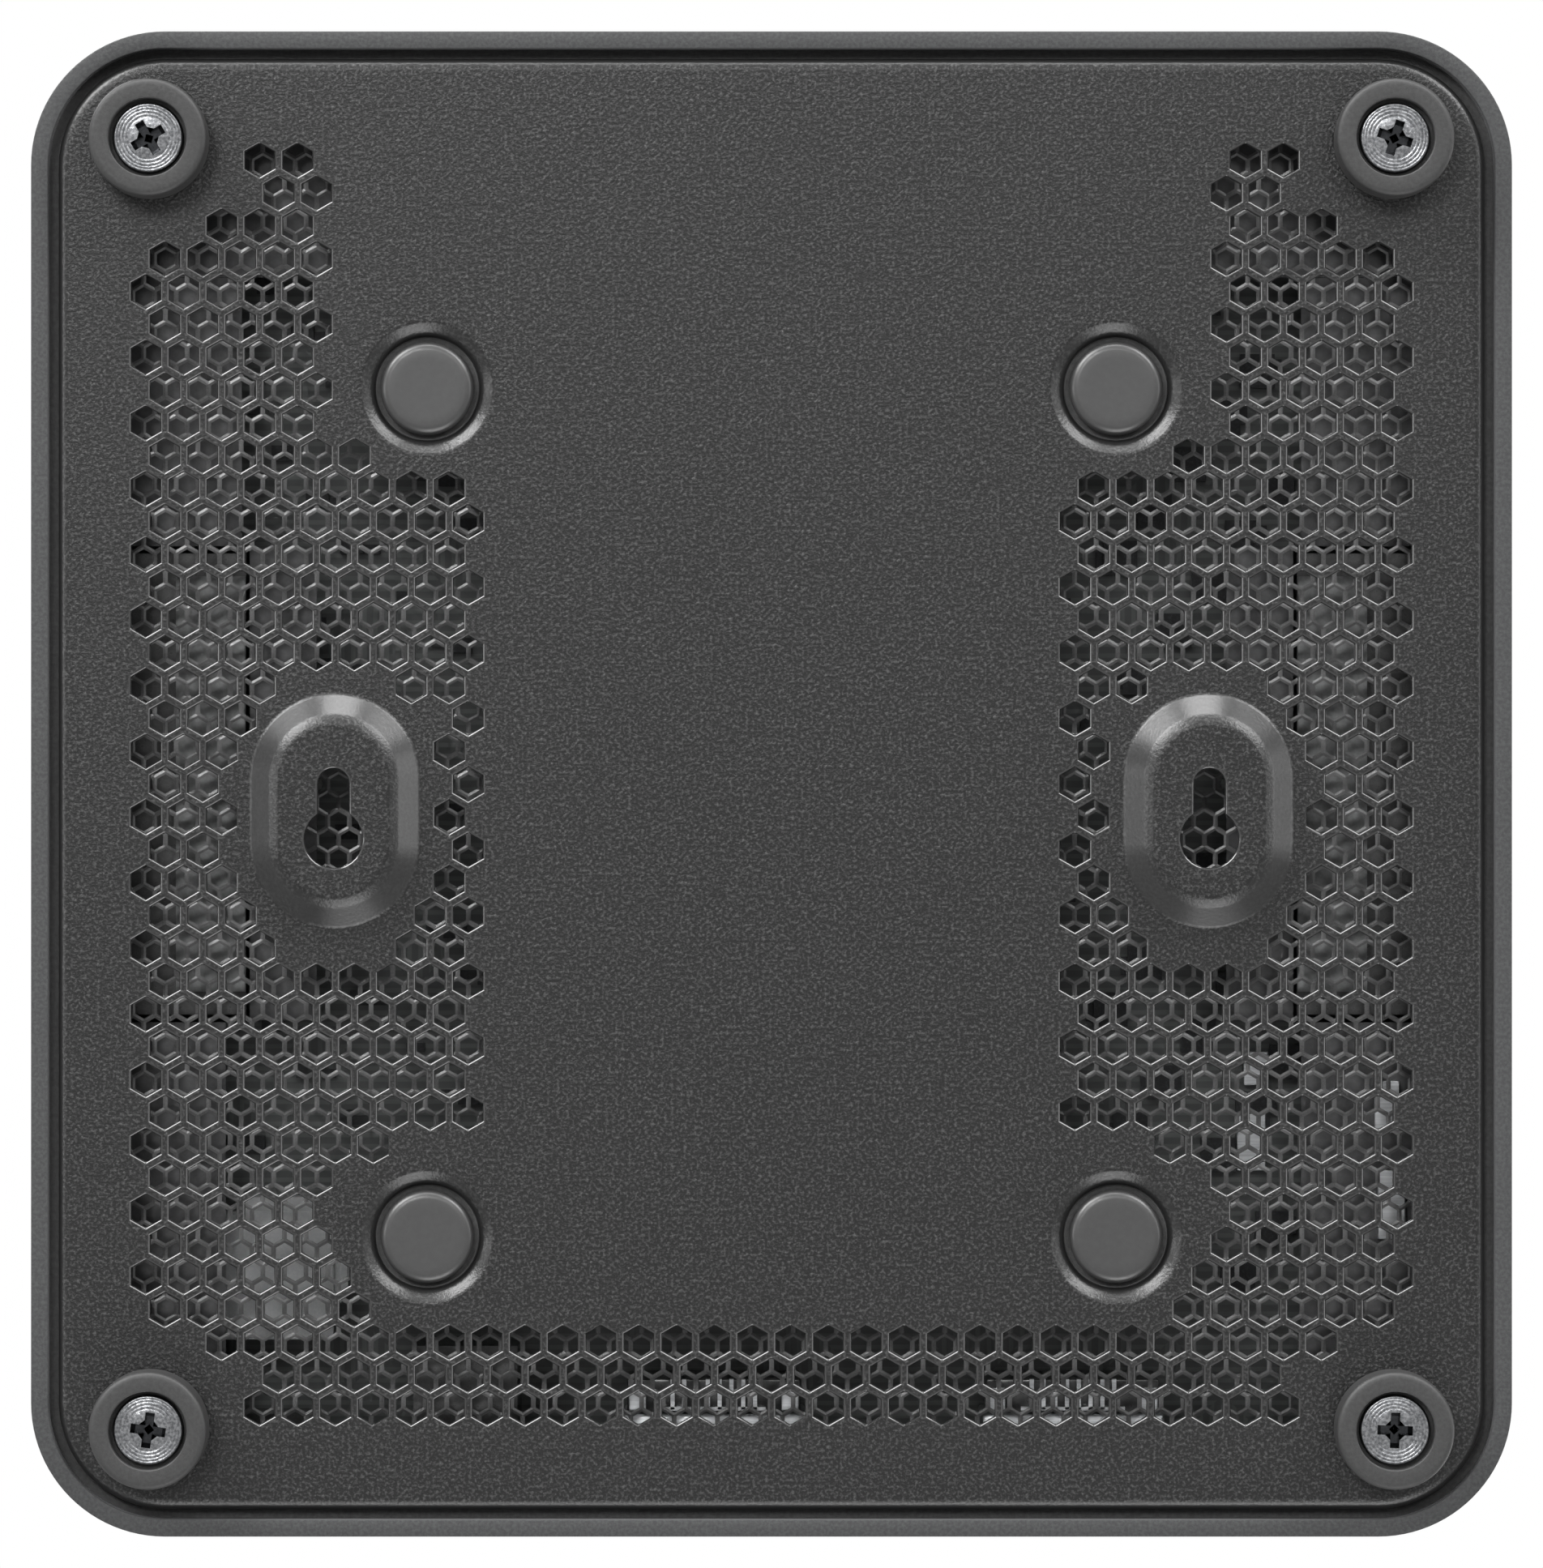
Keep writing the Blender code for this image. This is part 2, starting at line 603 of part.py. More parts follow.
def vent_screen(material):
    """A flat sheet with a lip that stands on the plate, cut back round the case's posts."""
    bm = bmesh.new()
    notch = BASE_POST / 2 + SCREEN_POST_CLEARANCE
    outline = notched_rectangle(SCREEN_HALF_WIDTH, SCREEN_HALF_DEPTH, FOOT_X - notch, FOOT_Y - notch)
    edge = edge_loop(bm, outline, SCREEN_TOP_Z)
    bridge(bm, (edge, edge_loop(bm, outline, PLATE_TOP_Z + SEAT_GAP)))
    holes = []
    for i, j in CORNERS.values():
        centre = (i * DIMPLE_X, DIMPLE_FRONT_Y if j < 0 else DIMPLE_REAR_Y)
        holes.append(edge_loop(bm, circle(centre, PLUG_DIAMETER, SMALL_STEPS), SCREEN_TOP_Z))
    fill(bm, edge, *holes)
    thickened("vent_screen", bm, material, SCREEN_THICKNESS, Vector((0, 0, 1)))


def case_shell(material):
    """The open bottomed shell, before its posts and openings."""
    bm = bmesh.new()
    outer = [(0, PLATE_Z)]
    for step in range(EDGE_STEPS + 1):
        angle = math.pi / 2 * step / EDGE_STEPS
        inset = CASE_TOP_ROUNDING * (1 - math.cos(angle))
        outer.append((inset, CASE_TOP_Z - CASE_TOP_ROUNDING * (1 - math.sin(angle))))
    inner = [(CASE_WALL, PLATE_Z), (CASE_WALL, CEILING_Z)]
    loops = []
    for inset, z in [*reversed(outer), *inner]:
        width, depth = CASE_WIDTH - 2 * inset, CASE_DEPTH - 2 * inset
        outline = rounded_rectangle(width, depth, CASE_CORNER_RADIUS - inset)
        loops.append(edge_loop(bm, outline, z))
    bridge(bm, loops)
    fill(bm, loops[0])
    fill(bm, loops[-1])
    return place("case", mesh_of("case", bm, material))


def case_posts():
    """Screw posts under the ceiling: long ones for the base, short ones for the board."""
    bm = bmesh.new()
    root_z = CEILING_Z + CASE_TOP_THICKNESS / 2
    for i, j in CORNERS.values():
        foot = circle((i * FOOT_X, j * FOOT_Y), BASE_POST, SMALL_STEPS)
        prism(bm, foot, PLATE_TOP_Z + SEAT_GAP, root_z)
        board = circle((i * DIMPLE_X, DIMPLE_FRONT_Y if j < 0 else DIMPLE_REAR_Y), BOARD_POST, SMALL_STEPS)
        prism(bm, board, OVER_BOARD_Z, root_z)
    return mesh_of("case_posts", bm)


def case_bores():
    bm = bmesh.new()
    base_tip = PLATE_Z + BASE_SCREW_LENGTH
    board_tip = BOARD_Z + BOARD_SCREW_LENGTH
    for i, j in CORNERS.values():
        foot = circle((i * FOOT_X, j * FOOT_Y), BASE_HOLE, SMALL_STEPS)
        prism(bm, foot, PLATE_TOP_Z, base_tip)
        board = circle((i * DIMPLE_X, DIMPLE_FRONT_Y if j < 0 else DIMPLE_REAR_Y), BOARD_HOLE, SMALL_STEPS)
        prism(bm, board, BOARD_TOP_Z, board_tip)
    return mesh_of("case_bores", bm)


def case_openings():
    """Cutters for the ports, buttons and warm air in the back wall, and for the light in the front."""
    bm = bmesh.new()
    back = -HALF_DEPTH - CASE_WALL
    front = -back
    inside_back = CASE_WALL - INNER_HALF_DEPTH
    jack_hole = (JACK_WIDTH + 2 * HOLE_GAP, JACK_HEIGHT + 2 * HOLE_GAP)
    outlines = [
        rectangle(*jack_hole, (JACK_LEFT_X + i * JACK_SPACING, JACK_Z + JACK_HEIGHT / 2)) for i in (0, 1)
    ]
    outlines.append(circle((POWER_X, POWER_Z), POWER_BARREL + 2 * POWER_HOLE_MARGIN, ROUND_STEPS))
    outlines.append(circle((SYNC_X, SWITCH_Z), SYNC_CAP_DIAMETER + 2 * HOLE_GAP, ROUND_STEPS))
    outlines.append(circle((RESET_X, SWITCH_Z), RESET_HOLE_DIAMETER, SMALL_STEPS))
    slot_z = CASE_TOP_Z - EXHAUST_TOP_MARGIN - EXHAUST_HEIGHT / 2
    for i in range(EXHAUST_COUNT):
        x = (i - (EXHAUST_COUNT - 1) / 2) * EXHAUST_PITCH
        outlines.append(rectangle(EXHAUST_WIDTH, EXHAUST_HEIGHT, (x, slot_z)))
    for outline in outlines:
        prism(bm, outline, back, inside_back)
    slit = rectangle(PIPE_WIDTH + 2 * HOLE_GAP, PIPE_HEIGHT + 2 * HOLE_GAP, (0, PIPE_Z))
    prism(bm, slit, -inside_back, front)
    return mesh_of("case_openings", bm, None, FACING_BACK)


def case(material):
    shell = case_shell(material)
    boolean(shell, case_posts(), "UNION")
    boolean(shell, case_bores(), "DIFFERENCE")
    boolean(shell, case_openings(), "DIFFERENCE")


def feet_and_base_screws(rubber, steel):
    outer, bore, hole = FOOT_DIAMETER / 2, FOOT_BORE / 2, BASE_HOLE / 2
    rounding = arc((outer - FOOT_ROUNDING, FOOT_ROUNDING), FOOT_ROUNDING, -math.pi / 2, 0, EDGE_STEPS)
    profile = [(bore, 0), *rounding, (outer, FOOT_HEIGHT), (hole, FOOT_HEIGHT)]
    seat_z = FOOT_HEIGHT - FOOT_FLOOR
    profile += [(hole, seat_z), (bore, seat_z)]
    bm = bmesh.new()
    turned(bm, profile, ROUND_STEPS, ring=True)
    foot = mesh_of("foot", bm, rubber)
    screw = screw_mesh(
        "base_screw", steel, BASE_SCREW_HEAD, BASE_SCREW_HEAD_HEIGHT, BASE_SCREW_DIAMETER, BASE_SCREW_LENGTH
    )
    for corner, (i, j) in CORNERS.items():
        place(f"foot_{corner}", foot, (i * FOOT_X, j * FOOT_Y, 0))
        place(f"base_screw_{corner}", screw, (i * FOOT_X, j * FOOT_Y, seat_z - SEAT_GAP))


def blanking_plugs(rubber):
    head, stem, barb = PLUG_DIAMETER / 2, PLUG_STEM_DIAMETER / 2, PLUG_BARB_DIAMETER / 2
    seat = DIMPLE_DEPTH - SEAT_GAP
    neck = DIMPLE_DEPTH + PLATE_THICKNESS + SEAT_GAP
    bend = (head - PLUG_ROUNDING, PLUG_SINK + PLUG_ROUNDING)
    rounding = arc(bend, PLUG_ROUNDING, -math.pi / 2, 0, EDGE_STEPS)
    profile = [(0, PLUG_SINK), *rounding, (head, seat), (stem, seat), (stem, neck), (barb, neck)]
    profile += [(stem, neck + PLUG_BARB_HEIGHT), (0, neck + PLUG_BARB_HEIGHT)]
    bm = bmesh.new()
    turned(bm, profile, SMALL_STEPS)
    plug = mesh_of("blanking_plug", bm, rubber)
    for corner, (i, j) in CORNERS.items():
        y = DIMPLE_FRONT_Y if j < 0 else DIMPLE_REAR_Y
        place(f"blanking_plug_{corner}", plug, (i * DIMPLE_X, y, PLATE_Z))


def sink_screw_centres():
    x = SINK_WIDTH / 2 - SINK_SCREW_INSET
    return {"front": (x, -SINK_SCREW_Y), "rear": (-x, SINK_SCREW_Y)}


def main_board(laminate, steel):
    notch_x = ANTENNA_INNER_X - BOARD_ANTENNA_CLEARANCE
    notch_y = ANTENNA_LENGTH / 2 + BOARD_ANTENNA_CLEARANCE
    right_side = [
        (BOARD_HALF_WIDTH, BOARD_FRONT_Y),
        (BOARD_HALF_WIDTH, -notch_y),
        (notch_x, -notch_y),
        (notch_x, notch_y),
        (BOARD_HALF_WIDTH, notch_y),
        (BOARD_HALF_WIDTH, BOARD_REAR_Y),
    ]
    outline = right_side + [(-x, y) for x, y in reversed(right_side)]
    screw = screw_mesh(
        "board_screw",
        steel,
        BOARD_SCREW_HEAD,
        BOARD_SCREW_HEAD_HEIGHT,
        BOARD_SCREW_DIAMETER,
        BOARD_SCREW_LENGTH,
    )
    holes = []
    for corner, (i, j) in CORNERS.items():
        centre = (i * DIMPLE_X, DIMPLE_FRONT_Y if j < 0 else DIMPLE_REAR_Y)
        holes.append(circle(centre, BOARD_HOLE, SMALL_STEPS))
        place(f"board_screw_{corner}", screw, (*centre, UNDER_BOARD_Z))
    for centre in sink_screw_centres().values():
        holes.append(circle(centre, SINK_SCREW_DIAMETER + 2 * HOLE_GAP, SMALL_STEPS))
    bm = bmesh.new()
    prism(bm, outline, BOARD_Z, BOARD_TOP_Z, holes)
    place("main_board", mesh_of("main_board", bm, laminate))


def network_jacks(plated):
    low, high = -SOCKET_HEIGHT / 2, SOCKET_HEIGHT / 2
    side, latch = SOCKET_WIDTH / 2, SOCKET_LATCH_WIDTH / 2
    notch = low - SOCKET_LATCH_HEIGHT
    socket = [(side, low), (side, high), (-side, high), (-side, low)]
    socket += [(-latch, low), (-latch, notch), (latch, notch), (latch, low)]
    bm = bmesh.new()
    pocketed(bm, rectangle(JACK_WIDTH, JACK_HEIGHT), JACK_DEPTH, socket, SOCKET_DEPTH)
    mesh = mesh_of("network_jack", bm, plated, FACING_BACK)
    z = JACK_Z + JACK_HEIGHT / 2
    for i, name in enumerate(("network_jack_left", "network_jack_right")):
        place(name, mesh, (JACK_LEFT_X + i * JACK_SPACING, HALF_DEPTH - JACK_FACE_SINK, z))


def power_jack(plastic):
    barrel = circle((0, 0), POWER_BARREL, ROUND_STEPS)
    pin = circle((0, 0), POWER_PIN, ROUND_STEPS)
    bm = bmesh.new()
    pocketed(bm, rectangle(POWER_WIDTH, POWER_HEIGHT), POWER_DEPTH, barrel, POWER_BARREL_DEPTH, pin)
    mesh = mesh_of("power_jack", bm, plastic, FACING_BACK)
    place("power_jack", mesh, (POWER_X, INNER_HALF_DEPTH - SEAT_GAP, POWER_Z))


def tact_switch(name, x, face_y, travel, plastic, plunger_plastic):
    """A switch under the board with its plunger facing the back. face_y is the plunger's face."""
    hole = circle((0, 0), PLUNGER_DIAMETER + 2 * HOLE_GAP, SMALL_STEPS)
    well = PLUNGER_SEAT + travel + SEAT_GAP
    bm = bmesh.new()
    pocketed(bm, rectangle(SWITCH_SIDE, SWITCH_SIDE), SWITCH_DEPTH, hole, well)
    mesh = mesh_of(f"{name}_switch", bm, plastic, FACING_BACK)
    place(f"{name}_switch", mesh, (x, face_y - PLUNGER_REACH, SWITCH_Z))
    bm = bmesh.new()
    prism(bm, circle((0, 0), PLUNGER_DIAMETER, SMALL_STEPS), 0, PLUNGER_REACH + PLUNGER_SEAT)
    mesh = mesh_of(f"{name}_plunger", bm, plunger_plastic, FACING_BACK)
    place(f"{name}_plunger", mesh, (x, face_y, SWITCH_Z))


def buttons(cap_plastic, switch_plastic, plunger_plastic):
    """The sync button's cap lies behind the back wall by its flange. The reset plunger has only a hole."""
    face = HALF_DEPTH - SYNC_FACE_SINK
    flange = face - (INNER_HALF_DEPTH - SEAT_GAP)
    sections = [
        (SYNC_CAP_DIAMETER, 0),
        (SYNC_CAP_DIAMETER, flange),
        (SYNC_CAP_DIAMETER + 2 * (HOLE_GAP + SYNC_FLANGE), flange),
        (SYNC_CAP_DIAMETER + 2 * (HOLE_GAP + SYNC_FLANGE), flange + SYNC_FLANGE),
        (SYNC_STEM_DIAMETER, flange + SYNC_FLANGE),
        (SYNC_STEM_DIAMETER, flange + SYNC_FLANGE + SYNC_STEM_LENGTH),
    ]
    bm = bmesh.new()
    lofted(bm, [(circle((0, 0), across, ROUND_STEPS), depth) for across, depth in sections])
    mesh = mesh_of("sync_button", bm, cap_plastic, FACING_BACK)
    place("sync_button", mesh, (SYNC_X, face, SWITCH_Z))
    stem_end = face - sections[-1][1]
    tact_switch("sync", SYNC_X, stem_end - SEAT_GAP, SYNC_TRAVEL, switch_plastic, plunger_plastic)
    reset_face = INNER_HALF_DEPTH - RESET_FACE_DEPTH
    tact_switch("reset", RESET_X, reset_face, RESET_TRAVEL, switch_plastic, plunger_plastic)


def chips_and_heat_sink(epoxy, soft_pad, aluminium, steel):
    block_object("processor", epoxy, (PROCESSOR_SIDE, PROCESSOR_SIDE, CHIP_HEIGHT), (0, 0), OVER_BOARD_Z)
    memory_y = PROCESSOR_SIDE / 2 + MEMORY_GAP + MEMORY_DEPTH / 2
    block_object("memory_chip", epoxy, (MEMORY_WIDTH, MEMORY_DEPTH, CHIP_HEIGHT), (0, memory_y), OVER_BOARD_Z)
    pad_size = (PROCESSOR_SIDE, PROCESSOR_SIDE, THERMAL_PAD_THICKNESS)
    block_object("thermal_pad", soft_pad, pad_size, (0, 0), THERMAL_PAD_Z)
    heat_sink(aluminium)
    gap = SINK_Z - BOARD_Z + SEAT_GAP
    screw = screw_mesh(
        "heat_sink_screw",
        steel,
        SINK_SCREW_HEAD,
        SINK_SCREW_HEAD_HEIGHT,
        SINK_SCREW_DIAMETER,
        gap + SINK_SCREW_ENGAGEMENT,
    )
    for end, centre in sink_screw_centres().items():
        place(f"heat_sink_screw_{end}", screw, (*centre, UNDER_BOARD_Z))


def heat_sink(aluminium):
    """Fins on a base, drawn as a comb and drawn out from front to back."""
    top = SINK_BASE + SINK_FIN_HEIGHT
    pitch = (SINK_WIDTH - SINK_FIN_THICKNESS) / (SINK_FIN_COUNT - 1)
    outline = [(SINK_WIDTH / 2, 0), (SINK_WIDTH / 2, top)]
    for i in range(SINK_FIN_COUNT - 1):
        right = SINK_WIDTH / 2 - SINK_FIN_THICKNESS - i * pitch
        left = right - pitch + SINK_FIN_THICKNESS
        outline += [(right, top), (right, SINK_BASE), (left, SINK_BASE), (left, top)]
    outline += [(-SINK_WIDTH / 2, top), (-SINK_WIDTH / 2, 0)]
    bm = bmesh.new()
    prism(bm, outline, -SINK_DEPTH / 2, SINK_DEPTH / 2)
    sink = place("heat_sink", mesh_of("heat_sink", bm, aluminium, FACING_BACK), (0, 0, SINK_Z))
    bm = bmesh.new()
    for centre in sink_screw_centres().values():
        hole = circle(centre, SINK_SCREW_DIAMETER + 2 * HOLE_GAP, SMALL_STEPS)
        prism(bm, hole, SINK_Z - SINK_BASE, SINK_Z + SINK_SCREW_ENGAGEMENT + SEAT_GAP)
    boolean(sink, mesh_of("heat_sink_bores", bm), "DIFFERENCE")


def board_parts(plated, ferrite, aluminium):
    for name, side in SIDES.items():
        x = side * (SHIELD_WIDTH + SHIELD_GAP) / 2
        size = (SHIELD_WIDTH, SHIELD_LENGTH, SHIELD_HEIGHT)
        block_object(f"radio_shield_{name}", plated, size, (x, SHIELD_Y), UNDER_BOARD_Z - SHIELD_HEIGHT)
    bm = bmesh.new()
    inset = CHOKE_WIDTH / 2 - CHOKE_CHAMFER
    outline = [(CHOKE_WIDTH / 2, inset), (inset, CHOKE_WIDTH / 2)]
    for _ in range(3):
        outline += [(-y, x) for x, y in outline[-2:]]
    prism(bm, outline, -CHOKE_HEIGHT, 0)
    place("power_choke", mesh_of("power_choke", bm, ferrite), (CHOKE_X, CHOKE_Y, UNDER_BOARD_Z))
    bm = bmesh.new()
    rounded = CAPACITOR_DIAMETER - 2 * CAPACITOR_ROUNDING
    sections = [
        (CAPACITOR_DIAMETER, 0),
        (CAPACITOR_DIAMETER, CAPACITOR_HEIGHT - CAPACITOR_ROUNDING),
        (rounded, CAPACITOR_HEIGHT),
    ]
    lofted(bm, [(circle((0, 0), across, SMALL_STEPS), z) for across, z in sections])
    mesh = mesh_of("capacitor", bm, aluminium)
    for name, side in SIDES.items():
        place(f"capacitor_{name}", mesh, (side * CAPACITOR_SPACING / 2, CAPACITOR_Y, OVER_BOARD_Z))


def antenna_lead(name, start, start_way, end, end_way, sleeve):
    """A thin coaxial lead on one smooth curve that leaves both ends straight."""
    leave = start + start_way * LEAD_STRAIGHT
    arrive = end + end_way * LEAD_STRAIGHT
    curve = bpy.data.curves.new(name, "CURVE")
    curve.dimensions = "3D"
    curve.bevel_depth = LEAD_DIAMETER / 2
    curve.bevel_resolution = 2
    curve.use_fill_caps = True
    curve.materials.append(sleeve)
    route = interpolate_bezier(start, leave, arrive, end, LEAD_POINTS)
    spline = curve.splines.new("POLY")
    spline.points.add(len(route) - 1)
    for point, place_on_route in zip(spline.points, route):
        point.co = (*place_on_route, 1)
    place(name, curve)


def side_antennas(laminate, plastic, sleeve):
    """Flat antennas behind the side vents, each under the shelf of a holder on the case wall."""
    shelf = ANTENNA_Z + ANTENNA_THICKNESS + SEAT_GAP
    wall = INNER_HALF_WIDTH - SEAT_GAP
    profile = [
        (ANTENNA_INNER_X, shelf),
        (wall, shelf),
        (wall, shelf + HOLDER_HEIGHT),
        (wall - HOLDER_WALL, shelf + HOLDER_HEIGHT),
        (wall - HOLDER_WALL, shelf + HOLDER_WALL),
        (ANTENNA_INNER_X, shelf + HOLDER_WALL),
    ]
    reach = ANTENNA_LENGTH / 2 + HOLDER_MARGIN
    for name, side in SIDES.items():
        size = (ANTENNA_WIDTH, ANTENNA_LENGTH, ANTENNA_THICKNESS)
        block_object(f"antenna_{name}", laminate, size, (side * ANTENNA_X, 0), ANTENNA_Z)
        bm = bmesh.new()
        prism(bm, [(side * x, z) for x, z in profile], -reach, reach)
        place(f"antenna_holder_{name}", mesh_of(f"antenna_holder_{name}", bm, plastic, FACING_BACK))
        inward = Vector((-side, 0, 0))
        solder_x = ANTENNA_INNER_X - BOARD_ANTENNA_CLEARANCE - LEAD_SOLDER_INSET
        start = Vector((side * solder_x, 0, UNDER_BOARD_Z))
        end = Vector((side * (ANTENNA_INNER_X - SEAT_GAP), 0, ANTENNA_Z + ANTENNA_THICKNESS / 2))
        antenna_lead(f"antenna_lead_{name}", start, Vector((0, 0, -1)), end, inward, sleeve)


def front_antennas(laminate, sleeve):
    """Antennas that stand against the front wall."""
    y = FRONT_ANTENNA_REAR_Y - ANTENNA_THICKNESS / 2
    low = CEILING_Z - SEAT_GAP - FRONT_ANTENNA_HEIGHT
    for name, side in SIDES.items():
        x = side * FRONT_ANTENNA_SPACING / 2
        size = (FRONT_ANTENNA_LENGTH, ANTENNA_THICKNESS, FRONT_ANTENNA_HEIGHT)
        block_object(f"antenna_front_{name}", laminate, size, (x, y), low)
        start = Vector((x, BOARD_FRONT_Y + LEAD_SOLDER_INSET, OVER_BOARD_Z))
        end = Vector((x, FRONT_ANTENNA_REAR_Y + SEAT_GAP, low + FRONT_ANTENNA_HEIGHT / 2))
        ways = Vector((0, 0, 1)), Vector((0, 1, 0))
        antenna_lead(f"antenna_lead_front_{name}", start, ways[0], end, ways[1], sleeve)


def status_light(lens, clear_plastic):
    block_object("status_led", lens, (LED_WIDTH, LED_DEPTH, LED_HEIGHT), (0, LED_Y), OVER_BOARD_Z)
    near = BOARD_FRONT_Y - SEAT_GAP
    collar = SEAT_GAP - INNER_HALF_DEPTH
    bar = rectangle(PIPE_WIDTH, PIPE_HEIGHT)
    wide = rectangle(PIPE_WIDTH + 2 * PIPE_COLLAR, PIPE_HEIGHT + 2 * PIPE_COLLAR)
    sections = [
        (bar, -near),
        (bar, -collar - PIPE_COLLAR),
        (wide, -collar - PIPE_COLLAR),
        (wide, -collar),
        (bar, -collar),
        (bar, HALF_DEPTH - PIPE_SINK),
    ]
    bm = bmesh.new()
    lofted(bm, sections)
    place("light_pipe", mesh_of("light_pipe", bm, clear_plastic, FACING_BACK), (0, 0, PIPE_Z))


def main():
    clear_scene()
    case_plastic = finish("case_plastic", (0.115, 0.115, 0.117), 0.55)
    coated_steel = finish("coated_steel", (0.062, 0.062, 0.063), 0.60)
    rubber = finish("foot_rubber", (0.090, 0.090, 0.090), 0.75)
    plug_rubber = finish("plug_rubber", (0.125, 0.125, 0.125), 0.50)
    screw_steel = finish("screw_steel", (0.180, 0.180, 0.180), 0.35, 1.0)
    screen_steel = finish("screen_steel", (0.050, 0.050, 0.050), 0.50, 0.6)
    laminate = finish("board_laminate", (0.012, 0.030, 0.020), 0.45)
    plated = finish("tin_plate", (0.620, 0.620, 0.600), 0.30, 1.0)
    black_plastic = finish("black_plastic", (0.015, 0.015, 0.015), 0.45)
    epoxy = finish("chip_epoxy", (0.020, 0.020, 0.020), 0.50)
    soft_pad = finish("thermal_pad", (0.300, 0.330, 0.360), 0.80)
    aluminium = finish("aluminium", (0.550, 0.550, 0.560), 0.35, 1.0)
    ferrite = finish("ferrite", (0.180, 0.180, 0.180), 0.60)
    antenna_laminate = finish("antenna_laminate", (0.300, 0.300, 0.280), 0.45)
    sleeve = finish("lead_sleeve", (0.030, 0.030, 0.030), 0.50)
    clear_plastic = finish("light_pipe", (0.700, 0.700, 0.700), 0.25)
    lens = finish("led_lens", (0.800, 0.780, 0.600), 0.30)

    case(case_plastic)
    base_plate(coated_steel)
    feet_and_base_screws(rubber, screw_steel)
    blanking_plugs(plug_rubber)
    vent_screen(screen_steel)
    main_board(laminate, screw_steel)
    network_jacks(plated)
    power_jack(black_plastic)
    buttons(case_plastic, black_plastic, epoxy)
    chips_and_heat_sink(epoxy, soft_pad, aluminium, screw_steel)
    board_parts(plated, ferrite, aluminium)
    side_antennas(antenna_laminate, black_plastic, sleeve)
    front_antennas(antenna_laminate, sleeve)
    status_light(lens, clear_plastic)


main()
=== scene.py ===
"""Looks for the mesh wifi node: a vented grey node seen from below, on ring feet, with its ports behind."""

import math

import bmesh
import bpy
from mathutils import Matrix, Vector


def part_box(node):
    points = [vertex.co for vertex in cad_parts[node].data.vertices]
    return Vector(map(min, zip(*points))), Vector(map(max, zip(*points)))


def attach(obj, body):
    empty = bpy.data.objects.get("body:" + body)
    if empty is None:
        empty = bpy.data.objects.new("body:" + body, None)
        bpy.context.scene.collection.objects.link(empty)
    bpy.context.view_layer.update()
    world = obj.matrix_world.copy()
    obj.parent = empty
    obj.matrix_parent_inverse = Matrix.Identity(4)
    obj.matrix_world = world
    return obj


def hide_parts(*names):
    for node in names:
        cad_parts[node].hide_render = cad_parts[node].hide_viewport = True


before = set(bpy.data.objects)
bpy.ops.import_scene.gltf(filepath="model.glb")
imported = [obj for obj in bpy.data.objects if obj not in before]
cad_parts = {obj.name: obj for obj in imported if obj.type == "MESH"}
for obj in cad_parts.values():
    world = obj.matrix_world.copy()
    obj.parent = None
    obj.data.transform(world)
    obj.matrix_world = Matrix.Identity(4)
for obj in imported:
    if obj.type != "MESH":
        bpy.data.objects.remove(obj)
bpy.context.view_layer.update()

MM = 0.001
BODY = "node_body"
SIDES = {"left": -1, "right": 1}
CORNERS = {"front_left": (-1, -1), "front_right": (1, -1), "rear_left": (-1, 1), "rear_right": (1, 1)}
VERT, EDGE, FACE = bmesh.types.BMVert, bmesh.types.BMEdge, bmesh.types.BMFace

# Case and plate
CASE_LOW, CASE_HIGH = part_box("case")
CASE_SIZE = CASE_HIGH - CASE_LOW
CASE_CORNER = 11.5 * MM
CASE_WALL = 1.5 * MM
ROOF_ROUND = 3.0 * MM
LIP_ROUND = 0.12 * MM
CEILING_Z = 40.4 * MM
PLATE_LOW, PLATE_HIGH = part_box("base_plate")
PLATE_Z = CASE_LOW.z
PLATE_THICK = 0.8 * MM
PLATE_CORNER = 9.2 * MM
PLATE_EDGE = 1.1 * MM
PUNCHED_EDGE = 0.20 * MM

# Features of the plate, as (x, y) beside the middle
FOOT_AT = Vector((53.3, 55.25)) * MM
SCREW_HOLE = 1.8 * MM
DIMPLE_X, DIMPLE_FRONT_Y, DIMPLE_REAR_Y = 29.6 * MM, -34.0 * MM, 38.9 * MM
DIMPLES = [(i * DIMPLE_X, DIMPLE_FRONT_Y if j < 0 else DIMPLE_REAR_Y) for i, j in CORNERS.values()]
DIMPLE_RADIUS = 5.85 * MM
# Radius of the dark foam on each dimple's floor: painted shade round the plug
SHADE_RING_RADIUS = 4.41 * MM
PAD_X, PAD_Y = 37.5 * MM, 2.3 * MM
PAD_SIZE = Vector((14.8, 20.4)) * MM
KEYHOLE_Y, KEYHOLE_RADIUS = 4.7 * MM, 2.5 * MM
SLOT_END_Y, SLOT_RADIUS = 0.0, 1.35 * MM

# Pressed steps in mm: a dimple's from its brim as (radius, rise), a pad's from its foot as (inset, rise)
DIMPLE_STEPS = (
    (5.74, 0.02), (5.58, 0.06), (4.94, 0.44), (4.70, 0.21), (4.53, 0.22), (4.42, 0.35), (2.10, 0.00))
DIMPLE_DEPTH = sum(rise for radius, rise in DIMPLE_STEPS) * MM
PAD_STEPS = (
    (0.10, 0.03), (0.22, 0.16), (1.45, 1.36), (0.22, 0.17), (0.55, 0.36), (0.20, 0.08), (0.18, 0.02))

# Vents: pitch of the cells and the bar between two of them
VENT_PITCH = 3.257 * MM
VENT_BAR = 0.74 * MM
VENT_ROWS, VENT_COLUMNS = 19, 17

